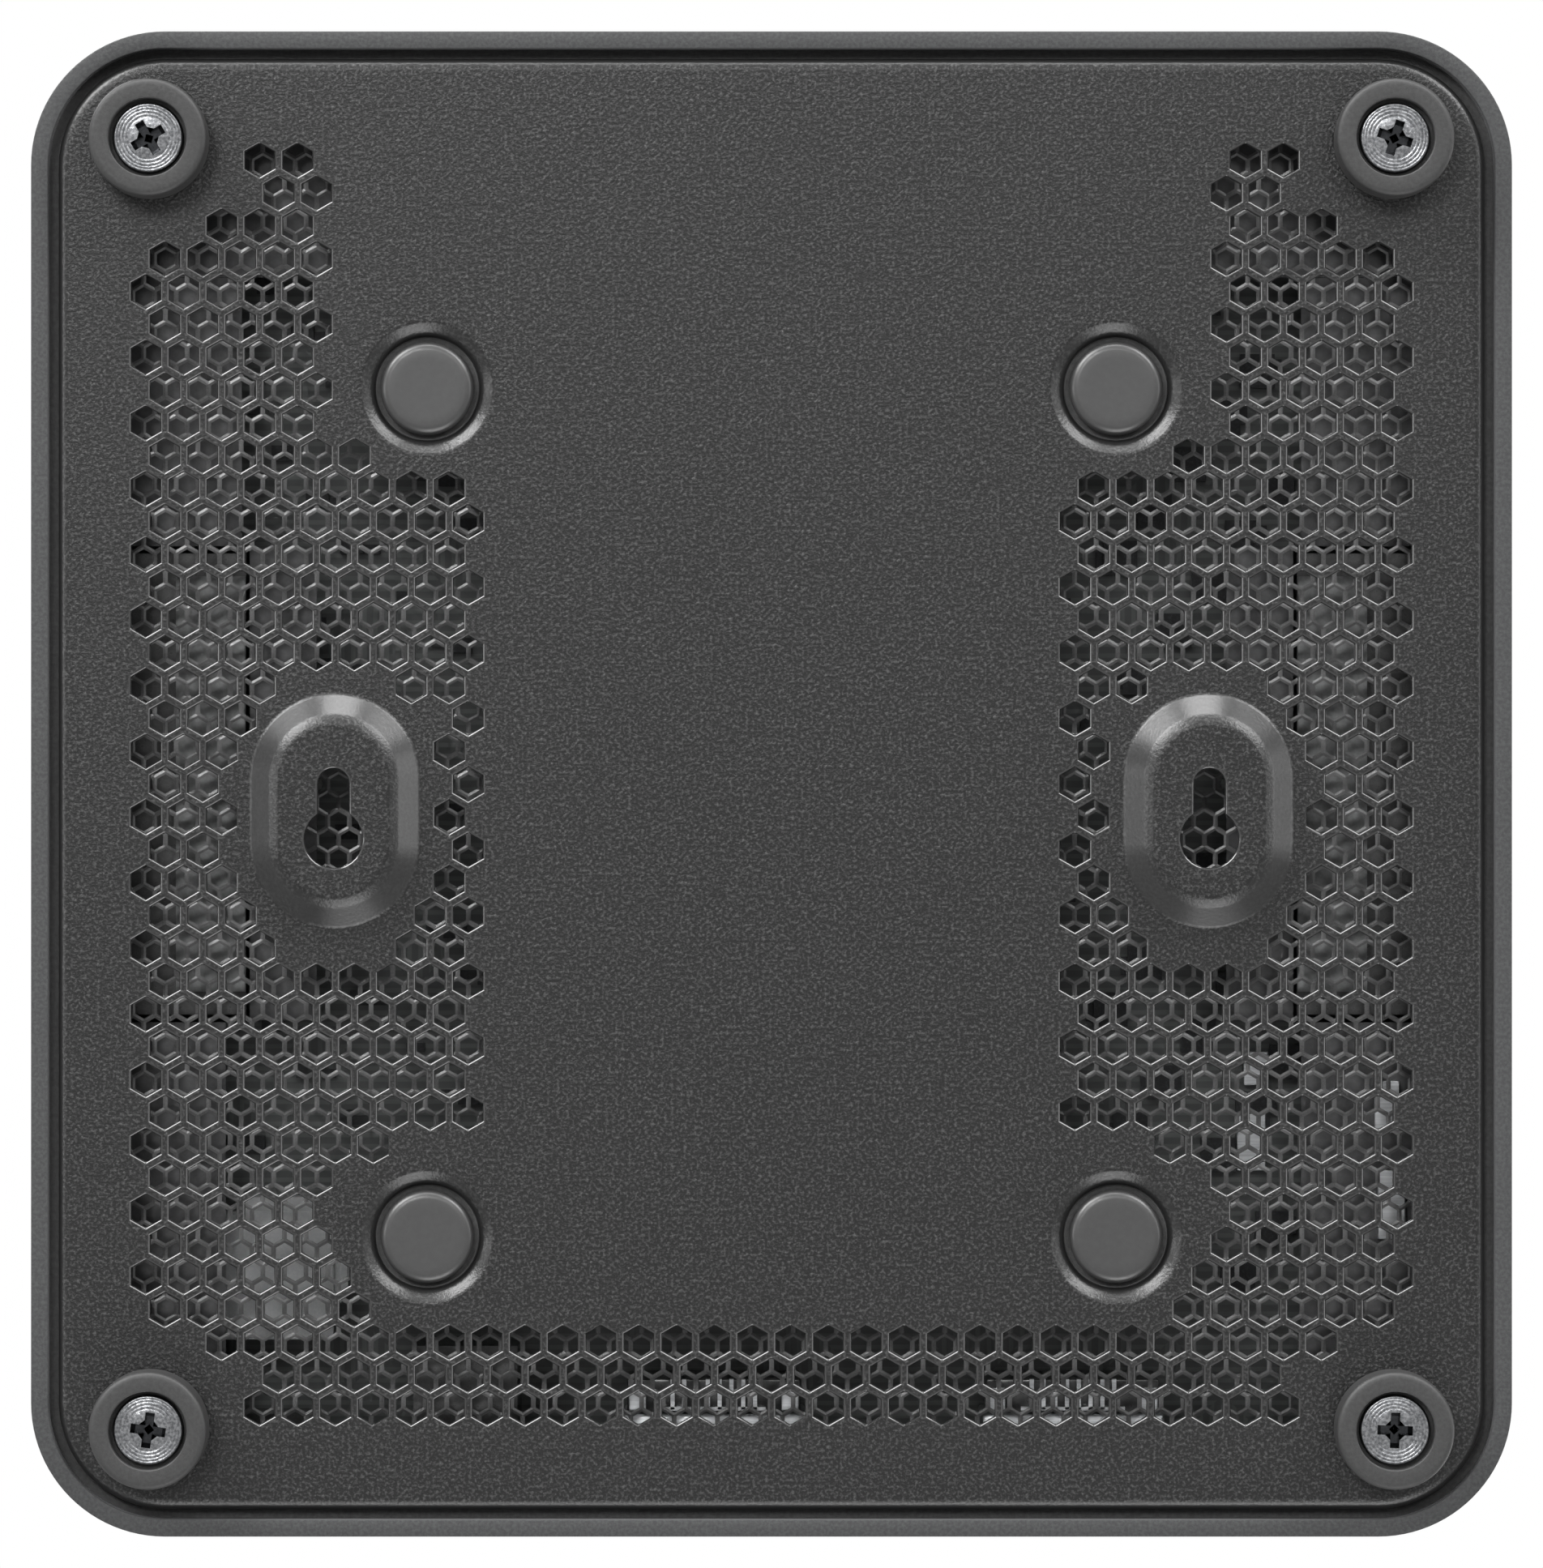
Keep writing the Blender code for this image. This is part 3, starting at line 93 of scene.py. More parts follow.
# Where the vents stop: at the sides, at the plain middle, which is wider at the front, and round each feature
VENT_EDGE_X = 53.9 * MM
PLAIN_HALF, FRONT_PLAIN_HALF = 25.4 * MM, 38.2 * MM
FRONT_PLAIN_Y, REAR_BAND_ROW = -28.6 * MM, 17
FOOT_CLEAR, DIMPLE_CLEAR, PAD_CLEAR = 9.2 * MM, 8.4 * MM, 9.63 * MM
PAD_CLEAR_X, PAD_CLEAR_FRONT_Y, PAD_CLEAR_REAR_Y = 37.39 * MM, -0.49 * MM, 5.08 * MM

# Inner screen: its cells, the part of it that is open, and its gaps round the posts and plugs
SCREEN_PITCH = 1.87 * MM
SCREEN_BAR = 0.27 * MM
SCREEN_THICK = 0.35 * MM
SCREEN_ROLL = 0.036 * MM
OPEN_HALF, SHUT_HALF, SHUT_REAR_Y = 57 * MM, 23.5 * MM, 44 * MM
POST_SHUT, POST_GAP = Vector((47.4, 49.4)) * MM, Vector((48.8, 50.75)) * MM
PLUG_SHUT, PLUG_GAP = 6.0 * MM, 4.6 * MM

# Feet, screws and plugs, as radii and heights
FOOT_RADIUS, FOOT_HEIGHT, FOOT_ROUND = 5.05 * MM, 3.6 * MM, 0.55 * MM
FOOT_BORE, BORE_ROUND = 3.34 * MM, 0.15 * MM
POCKET_RADIUS, POCKET_LOW, POCKET_HIGH = 3.05 * MM, 1.4 * MM, 2.8 * MM
HEAD_RADIUS, HEAD_ROUND, HEAD_SEAT = 3.0 * MM, 0.2 * MM, 2.5 * MM
SHANK_RADIUS, SHANK_TAPER = 1.5 * MM, 0.4 * MM
TURNED_MARKS = (1.75 * MM, 2.05 * MM, 2.35 * MM, 2.60 * MM)
RECESS_ARM, RECESS_REACH, RECESS_DEPTH = 0.41 * MM, 1.55 * MM, 1.0 * MM
SCREW_TURNS = {"front_left": 59, "front_right": 18, "rear_left": 8, "rear_right": 2}
PLUG_RADIUS, PLUG_ROUND = 4.0 * MM, 0.75 * MM
STEM_RADIUS, BARB_RADIUS, BARB_LENGTH = 1.8 * MM, 2.7 * MM, 1.0 * MM

# Ports: the cuts through the walls, the sockets' shells and their contacts
CUT_Y, CUT_DEPTH = 64 * MM, 8 * MM
SHELL_DEPTH = 9.6 * MM
CONTACTS = 8
CONTACT_PITCH = 1.02 * MM
TAIL_Z = 9.6 * MM


# Materials

TONE_DRIFT = 10 * MM
TRACK_PITCH = 0.982 * MM


def linear(hex_colour):
    """An sRGB hex colour as linear RGBA."""
    channels = [int(hex_colour[i:i + 2], 16) / 255 for i in (1, 3, 5)]
    return [c / 12.92 if c <= 0.04045 else ((c + 0.055) / 1.055) ** 2.4 for c in channels] + [1.0]


def node(tree, kind, inputs=None, stops=(), **settings):
    """Adds a shader node with its settings and colour stops. An input is set, or linked to a socket or to a
    node's first output."""
    made = tree.nodes.new("ShaderNode" + kind)
    for name, value in settings.items():
        setattr(made, name, value)
    for i, (place, colour) in enumerate(stops):
        made.color_ramp.elements[i].position = place
        made.color_ramp.elements[i].color = linear(colour)
    for name, value in (inputs or {}).items():
        if isinstance(value, bpy.types.Node):
            value = value.outputs[0]
        if isinstance(value, bpy.types.NodeSocket):
            tree.links.new(value, made.inputs[name])
        else:
            made.inputs[name].default_value = value
    return made


def blank(name):
    """An empty material, its node tree and the place on the piece, in metres."""
    material = bpy.data.materials.new(name)
    material.use_nodes = True
    tree = material.node_tree
    tree.nodes.clear()
    return material, tree, node(tree, "TexCoord").outputs["Object"]


def grained(
        name, base, fleck, grain, bump, roughness, fleck_share=0.5, slope_roughness=None, metallic=0.0,
        specular=0.5, flat_specular=None):
    """A surface with fine grain: flecks in the colour, a slow drift of tone, and a bump of the same grain.
    Where the sheet is pressed or rounded the grain is stretched smooth, so slopes have a roughness of their
    own. With flat_specular, the flats between them have a duller reflection too."""
    material, tree, place = blank(name)
    facing = node(tree, "SeparateXYZ", {"Vector": node(tree, "TexCoord").outputs["Normal"]})
    level = node(tree, "Math", {0: facing.outputs["Z"]}, operation="ABSOLUTE")
    flat = node(tree, "MapRange", {"Value": level, "From Min": 0.70, "From Max": 0.95})
    fine = node(tree, "TexNoise", {"Vector": place, "Scale": 1 / grain, "Detail": 2.0, "Roughness": 0.6})
    slow = node(tree, "TexNoise", {"Vector": place, "Scale": 1 / TONE_DRIFT, "Detail": 3.0})
    mild = node(tree, "Mix", {"Factor": flat, "A": 0.5, "B": fine})
    flecks = node(tree, "ValToRGB", {"Fac": mild}, ((fleck_share - 0.12, base), (fleck_share + 0.16, fleck)))
    tone = node(tree, "MapRange", {"Value": slow, "To Min": 0.92, "To Max": 1.08})
    colour = node(tree, "HueSaturation", {"Color": flecks, "Value": tone})
    rough = node(tree, "MapRange", {"Value": fine, "To Min": roughness + 0.10, "To Max": roughness - 0.10})
    stretched = slope_roughness or roughness - 0.10
    polish = node(tree, "Mix", {"Factor": flat, "A": stretched, "B": rough})
    if flat_specular is not None:
        specular = node(tree, "MapRange", {"Value": flat, "To Min": specular, "To Max": flat_specular})
    relief = node(tree, "Bump", {"Height": fine, "Strength": flat, "Distance": bump})
    surface = node(tree, "BsdfPrincipled", {
        "Base Color": colour, "Metallic": metallic, "Roughness": polish, "Specular IOR Level": specular,
        "Normal": relief})
    node(tree, "OutputMaterial", {"Surface": surface})
    return material


def drawn_metal(name, base, streak, spacing, along, roughness):
    """A metal with fine rolling or brushing marks that run along one axis, 25 times as long as wide."""
    material, tree, place = blank(name)
    stretch = [1 / spacing] * 3
    stretch["XYZ".index(along)] = 0.04 / spacing
    marks = node(tree, "Mapping", {"Vector": place, "Scale": stretch})
    lines = node(tree, "TexNoise", {"Vector": marks, "Scale": 1.0, "Detail": 3.0})
    spots = node(tree, "TexNoise", {"Vector": place, "Scale": 1 / (12 * spacing), "Detail": 2.0})
    colour = node(tree, "ValToRGB", {"Fac": lines}, ((0.35, base), (0.70, streak)))
    rough = node(tree, "MapRange", {"Value": spots, "To Min": roughness - 0.08, "To Max": roughness + 0.10})
    relief = node(tree, "Bump", {"Height": lines, "Strength": 0.35, "Distance": 0.02 * MM})
    surface = node(tree, "BsdfPrincipled", {
        "Base Color": colour, "Metallic": 1.0, "Roughness": rough, "Normal": relief})
    node(tree, "OutputMaterial", {"Surface": surface})
    return material


def solder_mask():
    """Glass laminate under lacquer, painted mid grey as fill light for the board deep in shade: tracks of
    copper show as paler lines.
    """
    material, tree, place = blank("glass_laminate_painted_fill")
    # Tracks about 1 mm apart, coarse enough to show, in 11 mm blocks that run one way or the other
    cells = {"Vector": place, "Scale": 1 / (11 * MM), "Randomness": 0.9}
    blocks = node(tree, "TexVoronoi", cells, distance="MANHATTAN")
    wave = {"Vector": place, "Scale": math.pi / (10 * TRACK_PITCH), "Distortion": 0.6}
    along_x = node(tree, "TexWave", wave, bands_direction="X").outputs["Fac"]
    along_y = node(tree, "TexWave", wave, bands_direction="Y").outputs["Fac"]
    pick = node(tree, "Math", {0: blocks, 1: 0.42}, operation="GREATER_THAN")
    tracks = node(tree, "Mix", {"Factor": pick, "A": along_x, "B": along_y})
    # Mid grey, lighter than the board's own dark mask: painted fill light
    colour = node(tree, "ValToRGB", {"Fac": tracks}, ((0.55, "#5c5f5e"), (0.75, "#707372")))
    relief = node(tree, "Bump", {"Height": tracks, "Strength": 0.4, "Distance": 0.03 * MM})
    surface = node(tree, "BsdfPrincipled", {"Base Color": colour, "Roughness": 0.34, "Normal": relief})
    node(tree, "OutputMaterial", {"Surface": surface})
    return material


def clear_moulded():
    """Clear acrylic, lightly frosted by the mould: passes some light, with a soft cloud inside."""
    material, tree, place = blank("acrylic_frosted")
    cloud = node(tree, "TexNoise", {"Vector": place, "Scale": 1 / (1.2 * MM), "Detail": 2.0})
    rough = node(tree, "MapRange", {"Value": cloud, "To Min": 0.30, "To Max": 0.50})
    surface = node(tree, "BsdfPrincipled", {
        "Base Color": linear("#b9bcbd"), "Roughness": rough, "IOR": 1.49, "Transmission Weight": 0.30})
    node(tree, "OutputMaterial", {"Surface": surface})
    return material


# Powder coat on steel: a matt skin of fine fused grains, so dark grey with pale flecks, partly the grain's
# own tone and partly painted glints for the sparkle of the grains. The real grain is about 0.1 mm, drawn at
# 0.28 mm to show.
coated_steel = grained(
    "steel_powder_coated", "#151515", "#464646", grain=0.28 * MM, bump=0.066 * MM, roughness=0.33,
    fleck_share=0.60, slope_roughness=0.29, flat_specular=0.25)
# The same coat drawn thin over punched edges: smooth, so each edge has a bright line.
edge_steel = grained(
    "steel_powder_coated_thin", "#262626", "#303030", grain=0.28 * MM, bump=0.012 * MM, roughness=0.20,
    fleck_share=0.60)
# Moulded PC and ABS with a spark-eroded texture: even grey with a faint, broken sheen.
case_plastic = grained(
    "pc_abs_moulded_textured", "#363637", "#424343", grain=0.30 * MM, bump=0.018 * MM, roughness=0.50,
    slope_roughness=0.55, specular=0.2)
# The same plastic on the core side of the mould, which is polished: smooth, with clear soft reflections, and
# painted a lighter grey than the outside as fill light inside the case.
case_inside_painted_light = grained(
    "pc_abs_polished_painted_light", "#525253", "#5c5c5d", grain=0.60 * MM, bump=0.0024 * MM, roughness=0.22)
# Cellular rubber foam, dark and matt, put in the groove and on the dimple floors round the plugs, where there
# is only shade: painted shade.
shade_foam = grained(
    "foam_rubber_painted_shade", "#404040", "#4a4a4a", grain=0.40 * MM, bump=0.030 * MM, roughness=0.90,
    flat_specular=0.10)
# Nitrile rubber, moulded and talc-dull: dark grey, no clear reflections.
foot_rubber = grained(
    "nitrile_rubber_moulded", "#282828", "#303030", grain=0.35 * MM, bump=0.018 * MM, roughness=0.60,
    slope_roughness=0.46, specular=0.35)
# Silicone rubber from a polished mould: smooth grey with a broad soft highlight.
plug_rubber = grained(
    "silicone_rubber_polished", "#2c2c2c", "#323232", grain=0.60 * MM, bump=0.0036 * MM, roughness=0.36,
    slope_roughness=0.34)
# Carbon steel blackened by zinc and nickel: dull metal, blotched, with pale worn grains.
screw_steel = grained(
    "steel_black_zinc", "#58595b", "#88898b", grain=0.25 * MM, bump=0.018 * MM, roughness=0.30, metallic=1.0)
# The same steel, smooth, in the screw's recess, coloured darker than the head as painted shade on the recess
# walls; facets that face a lamp still shine bright.
recess_painted_shade = grained(
    "steel_recess_painted_shade", "#2e2f31", "#38393b", grain=0.30 * MM, bump=0.006 * MM, roughness=0.24,
    metallic=1.0)
# Rolled steel sheet, painted thinly: mid grey, a little glossy.
screen_steel = grained(
    "steel_sheet_painted", "#606060", "#6c6c6c", grain=0.30 * MM, bump=0.0024 * MM, roughness=0.28,
    slope_roughness=0.24)
board_laminate = solder_mask()
# Tinned brass sheet: bright, slightly blotched, with rolling marks.
tin_plate = drawn_metal("brass_tin_plated", "#bec0c2", "#dfe1e3", 0.20 * MM, "X", roughness=0.42)
# Glass filled nylon, moulded, with a faint fibre grain: black, painted charcoal as fill light for the parts
# in shade inside the case.
black_plastic = grained(
    "nylon_black_painted_fill", "#444444", "#525252", grain=0.40 * MM, bump=0.006 * MM, roughness=0.30,
    fleck_share=0.55)
# Epoxy chip casing: charcoal, matt, with fine filler specks.
chip_epoxy = grained(
    "epoxy_moulded_charcoal", "#1d1e20", "#34363a", grain=0.25 * MM, bump=0.006 * MM, roughness=0.55,
    fleck_share=0.6)
# Filled silicone pad: soft pale blue, chalky.
thermal_pad = grained(
    "silicone_pad_filled", "#8aa0b5", "#a9bccb", grain=0.50 * MM, bump=0.018 * MM, roughness=0.80)
# Extruded aluminium: pale metal with fine lines along the fins.
aluminium = drawn_metal("aluminium_extruded", "#c3c5c8", "#dcdee0", 0.18 * MM, "Y", roughness=0.36)
# Pressed ferrite under pale lacquer: light grey, dull, with tiny glints.
ferrite = grained(
    "ferrite_lacquered_pale", "#cfd1d2", "#dcdddd", grain=0.25 * MM, bump=0.018 * MM, roughness=0.42,
    fleck_share=0.58)
# Antenna laminate, lacquered over copper: mid grey, evenly dull.
antenna_laminate = grained(
    "glass_laminate_pale", "#6e6f6f", "#7f8080", grain=0.50 * MM, bump=0.012 * MM, roughness=0.50)
# Fluoropolymer sleeve on a thin lead: off-white, waxy.
lead_sleeve = grained(
    "fluoropolymer_sleeve", "#b8b9b6", "#cccdca", grain=0.30 * MM, bump=0.006 * MM, roughness=0.40)
light_pipe = clear_moulded()
# Epoxy lamp lens over its die: milky white, smooth.
led_lens = grained(
    "epoxy_lens_milky", "#d9dad2", "#ecece6", grain=0.40 * MM, bump=0.006 * MM, roughness=0.25)
# Phosphor bronze with a gold flash: warm bright contacts.
contact_gold = drawn_metal("bronze_gold_flashed", "#c9a34f", "#e9cd84", 0.15 * MM, "Y", roughness=0.25)

SLOTS = {
    "case_plastic": case_plastic, "coated_steel": coated_steel, "foot_rubber": foot_rubber,
    "plug_rubber": plug_rubber, "screw_steel": screw_steel, "screen_steel": screen_steel,
    "board_laminate": board_laminate, "tin_plate": tin_plate, "black_plastic": black_plastic,
    "chip_epoxy": chip_epoxy, "thermal_pad": thermal_pad, "aluminium": aluminium, "ferrite": ferrite,
    "antenna_laminate": antenna_laminate, "lead_sleeve": lead_sleeve, "light_pipe": light_pipe,
    "led_lens": led_lens,
}


# Mesh helpers

def mesh_of(name, bm):
    """A mesh of a finished bmesh, which is freed."""
    mesh = bpy.data.meshes.new(name)
    bm.to_mesh(mesh)
    bm.free()
    return mesh


def added(name, data):
    """An object of a mesh, lamp or camera, put in the scene."""
    made = bpy.data.objects.new(name, data)
    bpy.context.scene.collection.objects.link(made)
    return made


def smoothed(made, sharp_from):
    """Shades a piece smooth, apart from edges sharper than an angle in degrees."""
    made.data.shade_smooth()
    made.data.set_sharp_from_angle(angle=math.radians(sharp_from))


def piece(name, bm, slot, stands_for=(), body=BODY, material=None, smooth=None):
    """Makes an object of a mesh, with its material, its body and the nodes that it stands for."""
    made = added(name, mesh_of(name, bm))
    made.data.materials.append(material or SLOTS[slot])
    if smooth is not None:
        smoothed(made, smooth)
    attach(made, body)
    if stands_for:
        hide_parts(*stands_for)
    return made


def fresh(made, kind):
    """The new vertices, edges or faces among what an operator gives back."""
    return [item for item in made["geom"] if isinstance(item, kind)]


def at(x, y, z=0.0):
    """A move to a place."""
    return Matrix.Translation((x, y, z))


def ring(bm, radius, x, y, z, segments):
    """A bare circle of edges."""
    verts = bmesh.ops.create_circle(bm, segments=segments, radius=radius, matrix=at(x, y, z))["verts"]
    return list({edge for vert in verts for edge in vert.link_edges})


def rounded_face(bm, size, radius, x, y, z, segments):
    """A flat rectangle with rounded corners, as one face."""
    verts = bmesh.ops.create_grid(bm, x_segments=1, y_segments=1, size=0.5)["verts"]
    bmesh.ops.scale(bm, vec=(size[0], size[1], 1), verts=verts)
    bmesh.ops.translate(bm, vec=(x, y, z), verts=verts)
    made = bmesh.ops.bevel(
        bm, geom=verts, offset=radius, segments=segments, profile=0.5, affect="VERTICES", material=-1)
    face = max({face for vert in made["verts"] for face in vert.link_faces}, key=lambda f: f.calc_area())
    bmesh.ops.remove_doubles(bm, verts=list(face.verts), dist=0.02 * MM)
    return face


def raised(bm, faces, rise):
    """Extrudes faces and lifts the new ones. Gives back the new faces."""
    made = bmesh.ops.extrude_face_region(bm, geom=faces)
    bmesh.ops.translate(bm, vec=(0, 0, rise), verts=fresh(made, VERT))
    return fresh(made, FACE)


def drop_face(bm, face):
    """Removes a face and keeps the edges round it."""
    edges = list(face.edges)
    bmesh.ops.delete(bm, geom=[face], context="FACES_ONLY")
    return edges


def step_in(bm, edges, x, y, scale, rise):
    """Extrudes a loop, scales it about (x, y) and lifts it. Gives back the new loop."""
    made = bmesh.ops.extrude_edge_only(bm, edges=edges)
    verts = fresh(made, VERT)
    bmesh.ops.scale(bm, vec=(scale, scale, 1), space=at(-x, -y), verts=verts)
    bmesh.ops.translate(bm, vec=(0, 0, rise), verts=verts)
    ends = set(verts)
    return [edge for edge in fresh(made, EDGE) if set(edge.verts) <= ends]


def point_sheet(bm, way):
    """Points a sheet's faces so that its flat looks up, with a way of 1, or down, with -1."""
    bmesh.ops.recalc_face_normals(bm, faces=bm.faces)
    flat = max(bm.faces, key=lambda f: abs(f.normal.z) * f.calc_area())
    if flat.normal.z * way < 0:
        bmesh.ops.reverse_faces(bm, faces=bm.faces)


def turned(bm, profile, segments, closed=False):
    """Spins a profile of (radius, height) points about Z."""
    verts = [bm.verts.new((radius, 0, height)) for radius, height in profile]
    edges = [bm.edges.new(pair) for pair in zip(verts, verts[1:])]
    if closed:
        edges.append(bm.edges.new((verts[-1], verts[0])))
    bmesh.ops.spin(
        bm, geom=verts + edges, cent=(0, 0, 0), axis=(0, 0, 1), angle=2 * math.pi, steps=segments,
        use_merge=True)
    bmesh.ops.remove_doubles(bm, verts=bm.verts, dist=1e-7)
    bmesh.ops.recalc_face_normals(bm, faces=bm.faces)


def box(bm, size, centre, round_by=0.0, segments=2):
    """A block, with its edges rounded where round_by is given."""
    verts = bmesh.ops.create_cube(bm, size=1.0)["verts"]
    bmesh.ops.scale(bm, vec=size, verts=verts)
    bmesh.ops.translate(bm, vec=centre, verts=verts)
    if round_by:
        edges = list({edge for vert in verts for edge in vert.link_edges})
        bmesh.ops.bevel(
            bm, geom=edges, offset=round_by, segments=segments, profile=0.5, affect="EDGES", material=-1)


def quarter(centre, radius, start, steps=5):
    """Points on a quarter circle, from a start angle in degrees."""
    angles = [math.radians(start + 90 * i / steps) for i in range(steps + 1)]
    return [(centre[0] + radius * math.cos(a), centre[1] + radius * math.sin(a)) for a in angles]


def settle(target):
    """Turns a piece's modifiers into its own mesh."""
    shown = target.evaluated_get(bpy.context.evaluated_depsgraph_get())
    done = bpy.data.meshes.new_from_object(shown)
    target.modifiers.clear()
    target.data = done


def cut(target, bm):
    """Takes a closed shape out of a piece for good."""
    bmesh.ops.recalc_face_normals(bm, faces=bm.faces)
    tool = added("cutter", mesh_of("cutter", bm))
    change = target.modifiers.new("Cut", "BOOLEAN")
    change.operation, change.solver, change.object, change.use_self = "DIFFERENCE", "EXACT", tool, True
    settle(target)
    bpy.data.objects.remove(tool)


def tiled(bm, pitch, z, doublings):
    """Hexagons side by side, a point to the front, about the middle, made by doubling one cell both ways."""
    bmesh.ops.create_circle(
        bm, cap_ends=True, segments=6, radius=pitch / math.sqrt(3), matrix=at(0, 0, z))
    row_pitch = pitch * math.sqrt(3) / 2
    moves = [(2 ** i * pitch, 0) for i in range(doublings)]
    moves.append((pitch / 2, row_pitch))
    moves += [(0, 2 ** (i + 1) * row_pitch) for i in range(doublings - 1)]
    for x, y in moves:
        copy = bmesh.ops.duplicate(bm, geom=[*bm.verts, *bm.edges, *bm.faces])
        bmesh.ops.translate(bm, vec=(x, y, 0), verts=fresh(copy, VERT))
    half = -2 ** (doublings - 1)
    bmesh.ops.translate(bm, vec=(half * pitch, half * row_pitch, 0), verts=bm.verts)


# Base plate

def near_dimple(x, y, reach):
    """Whether a place is within reach of a dimple's middle."""
    return any(math.hypot(x - dimple_x, y - dimple_y) < reach for dimple_x, dimple_y in DIMPLES)


def vent_centres():
    """Places of the vent cells: two side fields and a band across the back, clear of the plate's features."""
    found = []
    for row in range(-VENT_ROWS, VENT_ROWS + 1):
        y = row * VENT_PITCH * math.sqrt(3) / 2
        plain = 0.0 if row >= REAR_BAND_ROW else PLAIN_HALF if y > FRONT_PLAIN_Y else FRONT_PLAIN_HALF
        past_pad = max(PAD_CLEAR_FRONT_Y - y, y - PAD_CLEAR_REAR_Y, 0.0)
        for column in range(-VENT_COLUMNS, VENT_COLUMNS + 1):
            x = (column + row % 2 / 2) * VENT_PITCH
            by_foot = math.hypot(abs(x) - FOOT_AT.x, abs(y) - FOOT_AT.y) < FOOT_CLEAR
            by_pad = math.hypot(abs(x) - PAD_CLEAR_X, past_pad) < PAD_CLEAR
            in_field = plain <= abs(x) <= VENT_EDGE_X
            if in_field and not (by_foot or by_pad or near_dimple(x, y, DIMPLE_CLEAR)):
                found.append((x, y))
    return found


def plate_skirt(bm):
    """The plate's folded edge. Gives back the loop round its flat underside."""
    face = rounded_face(bm, PLATE_HIGH - PLATE_LOW, PLATE_CORNER, 0, 0, PLATE_Z, 16)
    top = raised(bm, [face], PLATE_HIGH.z - PLATE_Z)
    bmesh.ops.bevel(
        bm, geom=list(face.edges), offset=PLATE_EDGE, segments=6, profile=0.5, affect="EDGES", material=-1)
    bmesh.ops.delete(bm, geom=top, context="FACES_ONLY")
    return drop_face(bm, max(bm.faces, key=lambda f: f.calc_area()))


def dimple(bm, x, y):
    """A dished recess with a rounded brim and a hole for its plug. Gives back the loop round its brim."""
    brim = ring(bm, DIMPLE_RADIUS, x, y, PLATE_Z, 48)
    loop, radius = brim, DIMPLE_RADIUS
    for new_radius, rise in DIMPLE_STEPS:
        loop = step_in(bm, loop, x, y, new_radius * MM / radius, rise * MM)
        radius = new_radius * MM
    return brim


def keyhole_edges(bm, x, z):
    """A round hole with a slot to the front."""
    neck = math.asin(SLOT_RADIUS / KEYHOLE_RADIUS)
    points = []
    for i in range(25):
        a = -math.pi / 2 + neck + (2 * math.pi - 2 * neck) * i / 24
        points.append((x + KEYHOLE_RADIUS * math.cos(a), KEYHOLE_Y + KEYHOLE_RADIUS * math.sin(a)))
    for i in range(13):
        a = math.pi + math.pi * i / 12
        points.append((x + SLOT_RADIUS * math.cos(a), SLOT_END_Y + SLOT_RADIUS * math.sin(a)))
    verts = [bm.verts.new((*point, z)) for point in points]
    return [bm.edges.new((verts[i - 1], vert)) for i, vert in enumerate(verts)]


def keyhole_pad(bm, x):
    """A raised pad with soft sloping sides and a keyhole. Gives back the loop round its foot."""
    before = set(bm.faces)
    face = rounded_face(bm, PAD_SIZE, PAD_SIZE.x / 2, x, PAD_Y, PLATE_Z, 14)
    if face.normal.z > 0:
        bmesh.ops.reverse_faces(bm, faces=[face])
    for inset, rise in PAD_STEPS:
        bmesh.ops.inset_region(
            bm, faces=[face], thickness=inset * MM, use_boundary=True, use_even_offset=True)
        bmesh.ops.translate(bm, vec=(0, 0, -rise * MM), verts=list(face.verts))
    slopes = set(bm.faces) - before - {face}
    foot = [edge for slope in slopes for edge in slope.edges if edge.is_boundary]
    z = face.verts[0].co.z
    rim = drop_face(bm, face)
    bmesh.ops.triangle_fill(bm, use_beauty=True, edges=rim + keyhole_edges(bm, x, z))
    return foot


def base_plate():
    """The pressed and punched sheet, its edges rolled smooth, with dark foam on each dimple's floor round the
    plug as painted shade.
    """
    bm = bmesh.new()
    loops = plate_skirt(bm)
    for x, y in DIMPLES:
        loops += dimple(bm, x, y)
    for side in SIDES.values():
        loops += keyhole_pad(bm, side * PAD_X)
    for i, j in CORNERS.values():
        loops += ring(bm, SCREW_HOLE, i * FOOT_AT.x, j * FOOT_AT.y, PLATE_Z, 24)
    for x, y in vent_centres():
        loops += ring(bm, (VENT_PITCH - VENT_BAR) / math.sqrt(3), x, y, PLATE_Z, 6)
    bmesh.ops.triangle_fill(bm, use_beauty=True, edges=loops)
    point_sheet(bm, -1)
    made = piece("plate", bm, "coated_steel", ["base_plate"])
    made.data.materials.append(edge_steel)
    made.data.materials.append(shade_foam)
    sheet = made.modifiers.new("Sheet", "SOLIDIFY")
    sheet.thickness, sheet.offset = PLATE_THICK, -1
    edge = made.modifiers.new("Punched edge", "BEVEL")
    edge.limit_method, edge.angle_limit = "ANGLE", math.radians(60)
    edge.width, edge.segments, edge.use_clamp_overlap = PUNCHED_EDGE, 4, False
    edge.material = 1
    settle(made)
    # The dimple floors round the plugs take the dark foam: painted shade in the recess.
    for side in made.data.polygons:
        if near_dimple(side.center.x, side.center.y, SHADE_RING_RADIUS):
            side.material_index = 2
    smoothed(made, 20)
    made.modifiers.new("Even flats", "WEIGHTED_NORMAL").keep_sharp = True


# Inner screen

def is_open(x, y):
    """Whether a fine cell lies behind a vent or a keyhole, clear of the plugs and the posts."""
    past_field = max(abs(x), abs(y)) > OPEN_HALF
    in_middle = abs(x) < SHUT_HALF and y < SHUT_REAR_Y
    by_post = abs(x) >= POST_SHUT.x and abs(y) >= POST_SHUT.y
    return not (past_field or in_middle or by_post or near_dimple(x, y, PLUG_SHUT))


